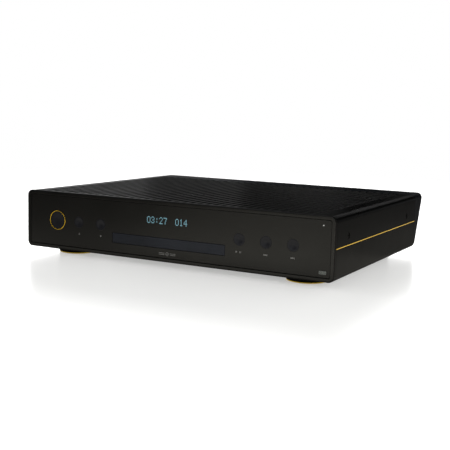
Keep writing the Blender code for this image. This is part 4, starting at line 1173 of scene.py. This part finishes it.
def floor_finish():
    """White that fades out with distance and seen from below, and glows less for the object than it looks."""
    made = bpy.data.materials.new("floor_white")
    made.use_nodes = True
    tree = made.node_tree
    shader = tree.nodes["Principled BSDF"]
    shader.inputs["Base Color"].default_value = (0.85, 0.85, 0.84, 1.0)
    shader.inputs["Roughness"].default_value = FLOOR_ROUGHNESS
    shader.inputs["Emission Color"].default_value = (1.0, 1.0, 0.985, 1.0)
    shader.inputs["Emission Strength"].default_value = FLOOR_GLOW
    card = node(tree, "ShaderNodeEmission", Color=(1.0, 0.97, 0.92, 1.0), Strength=FLOOR_CARD)
    seen = node(tree, "ShaderNodeLightPath").outputs["Is Camera Ray"]
    white = mix_shaders(tree, seen, card.outputs["Emission"], shader.outputs["BSDF"])
    distance = node(tree, "ShaderNodeVectorMath", operation="LENGTH", Vector=own_coords(tree))
    fade = node(
        tree, "ShaderNodeMapRange", interpolation_type="SMOOTHSTEP", Value=distance.outputs["Value"],
        From_Min=FLOOR_FADE, From_Max=FLOOR_RADIUS * 0.98, To_Min=1.0, To_Max=0.0,
    )
    below = node(tree, "ShaderNodeNewGeometry").outputs["Backfacing"]
    shown = node(tree, "ShaderNodeMix", Factor=below, A=fade.outputs["Result"], B=0.0)
    clear = node(tree, "ShaderNodeBsdfTransparent")
    placed = mix_shaders(tree, shown.outputs["Result"], clear.outputs["BSDF"], white)
    tree.links.new(placed, tree.nodes["Material Output"].inputs["Surface"])
    return made


def make_floor():
    """A pale round table under the object."""
    bm = bmesh.new()
    bmesh.ops.create_circle(bm, cap_ends=True, radius=FLOOR_RADIUS, segments=96)
    mesh = bpy.data.meshes.new("floor")
    bm.to_mesh(mesh)
    bm.free()
    floor = bpy.data.objects.new("floor", mesh)
    bpy.context.scene.collection.objects.link(floor)
    mesh.materials.append(floor_finish())
    floor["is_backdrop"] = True
    return floor


def make_world():
    """White behind everything for the camera, and a dim room for all other light."""
    world = bpy.data.worlds.new("world")
    bpy.context.scene.world = world
    world.use_nodes = True
    tree = world.node_tree
    background = tree.nodes["Background"]
    background.inputs["Color"].default_value = (*WHITE, 1.0)
    seen = node(tree, "ShaderNodeLightPath").outputs["Is Camera Ray"]
    strength = node(tree, "ShaderNodeMapRange", To_Min=ROOM_GLOW, To_Max=1.0, Value=seen)
    tree.links.new(strength.outputs["Result"], background.inputs["Strength"])


def add_softbox(name, place, target, size, radiance, receivers=None, colour=WHITE):
    """A soft panel light of a given radiance, facing its target and hidden from the camera."""
    data = bpy.data.lights.new(name, "AREA")
    data.shape = "RECTANGLE"
    data.size, data.size_y = size
    data.color = colour
    data.energy = radiance * math.pi * size[0] * size[1]
    light = bpy.data.objects.new(name, data)
    bpy.context.scene.collection.objects.link(light)
    light.location = place
    light.rotation_euler = (Vector(target) - Vector(place)).to_track_quat("-Z", "Y").to_euler()
    light.visible_camera = False
    if receivers:
        light.light_linking.receiver_collection = receivers


def only(name, objects):
    """A collection outside the scene, for a light that reaches nothing else."""
    made = bpy.data.collections.new(name)
    for obj in objects:
        made.objects.link(obj)
    return made


def pieces_named(test):
    return [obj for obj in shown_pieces() if test(obj.name)]


def make_lights(floor):
    """Soft panels round the object, the glow of the table, and lights for single finishes."""
    for panel in PANELS:
        add_softbox(*panel)
    dishes = only("dishes_only", pieces_named(lambda name: name.endswith("_dish")))
    add_softbox("dish_light", (-0.12, -1.6, 0.26), (0.05, -0.17, 0.045), (0.9, 0.3), 1.1, dishes, COOL)
    for name, (x, y), size, radiance in CARDS:
        add_softbox(name, (x, y, 0.001), (x, y, 1.0), size, radiance, colour=WARM)
    shell_only = only("object_only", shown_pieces())
    for name, place in WALLS:
        add_softbox(name, place, (0.0, 0.0, 0.1), WALL_SIZE, WALL_GLOW, shell_only)
    golden = only("gold_only", pieces_named(lambda name: name.startswith("gold_")))
    bands = only("bands_only", pieces_named(lambda name: name.startswith("foot_band")))
    under = ((0.0, 0.0, 0.0003), (0.0, 0.0, 1.0), (3.0, 3.0))
    add_softbox("gold_card", *under, 0.95, golden, YELLOW)
    add_softbox("band_card", *under, 0.35, bands)
    floor_only = only("floor_only", [floor])
    for k in range(4):
        turn = math.pi / 2 * k
        place = (SURROUND_REACH * math.cos(turn), SURROUND_REACH * math.sin(turn), SURROUND_SIZE[1] / 2)
        add_softbox(f"surround_{k}", place, (0.0, 0.0, place[2]), SURROUND_SIZE, SURROUND, floor_only)


def make_camera():
    """The camera at its fixed place, with the plain view transform."""
    data = bpy.data.cameras.new("camera")
    data.sensor_width = 36.0
    data.lens = CAMERA_LENS
    camera = bpy.data.objects.new("camera", data)
    bpy.context.scene.collection.objects.link(camera)
    turns = Matrix.Rotation(CAMERA_YAW, 4, "Z") @ Matrix.Rotation(math.pi / 2 - CAMERA_PITCH, 4, "X")
    turns = turns @ Matrix.Rotation(CAMERA_ROLL, 4, "Z")
    camera.matrix_world = Matrix.Translation(CAMERA_PLACE) @ turns
    bpy.context.scene.camera = camera
    bpy.context.scene.view_settings.view_transform = "Standard"


make_camera()
make_world()
make_cover()
make_hood()
make_strips()
make_fascia_rim()
make_fascia_panel()
make_controls()
make_door()
make_readout()
make_icons()
make_emblem()
make_badge()
make_feet()
make_pan()
make_tray()
make_sockets()
make_optical()
make_mains()
make_rear_details()
dress_frame()
make_lights(make_floor())
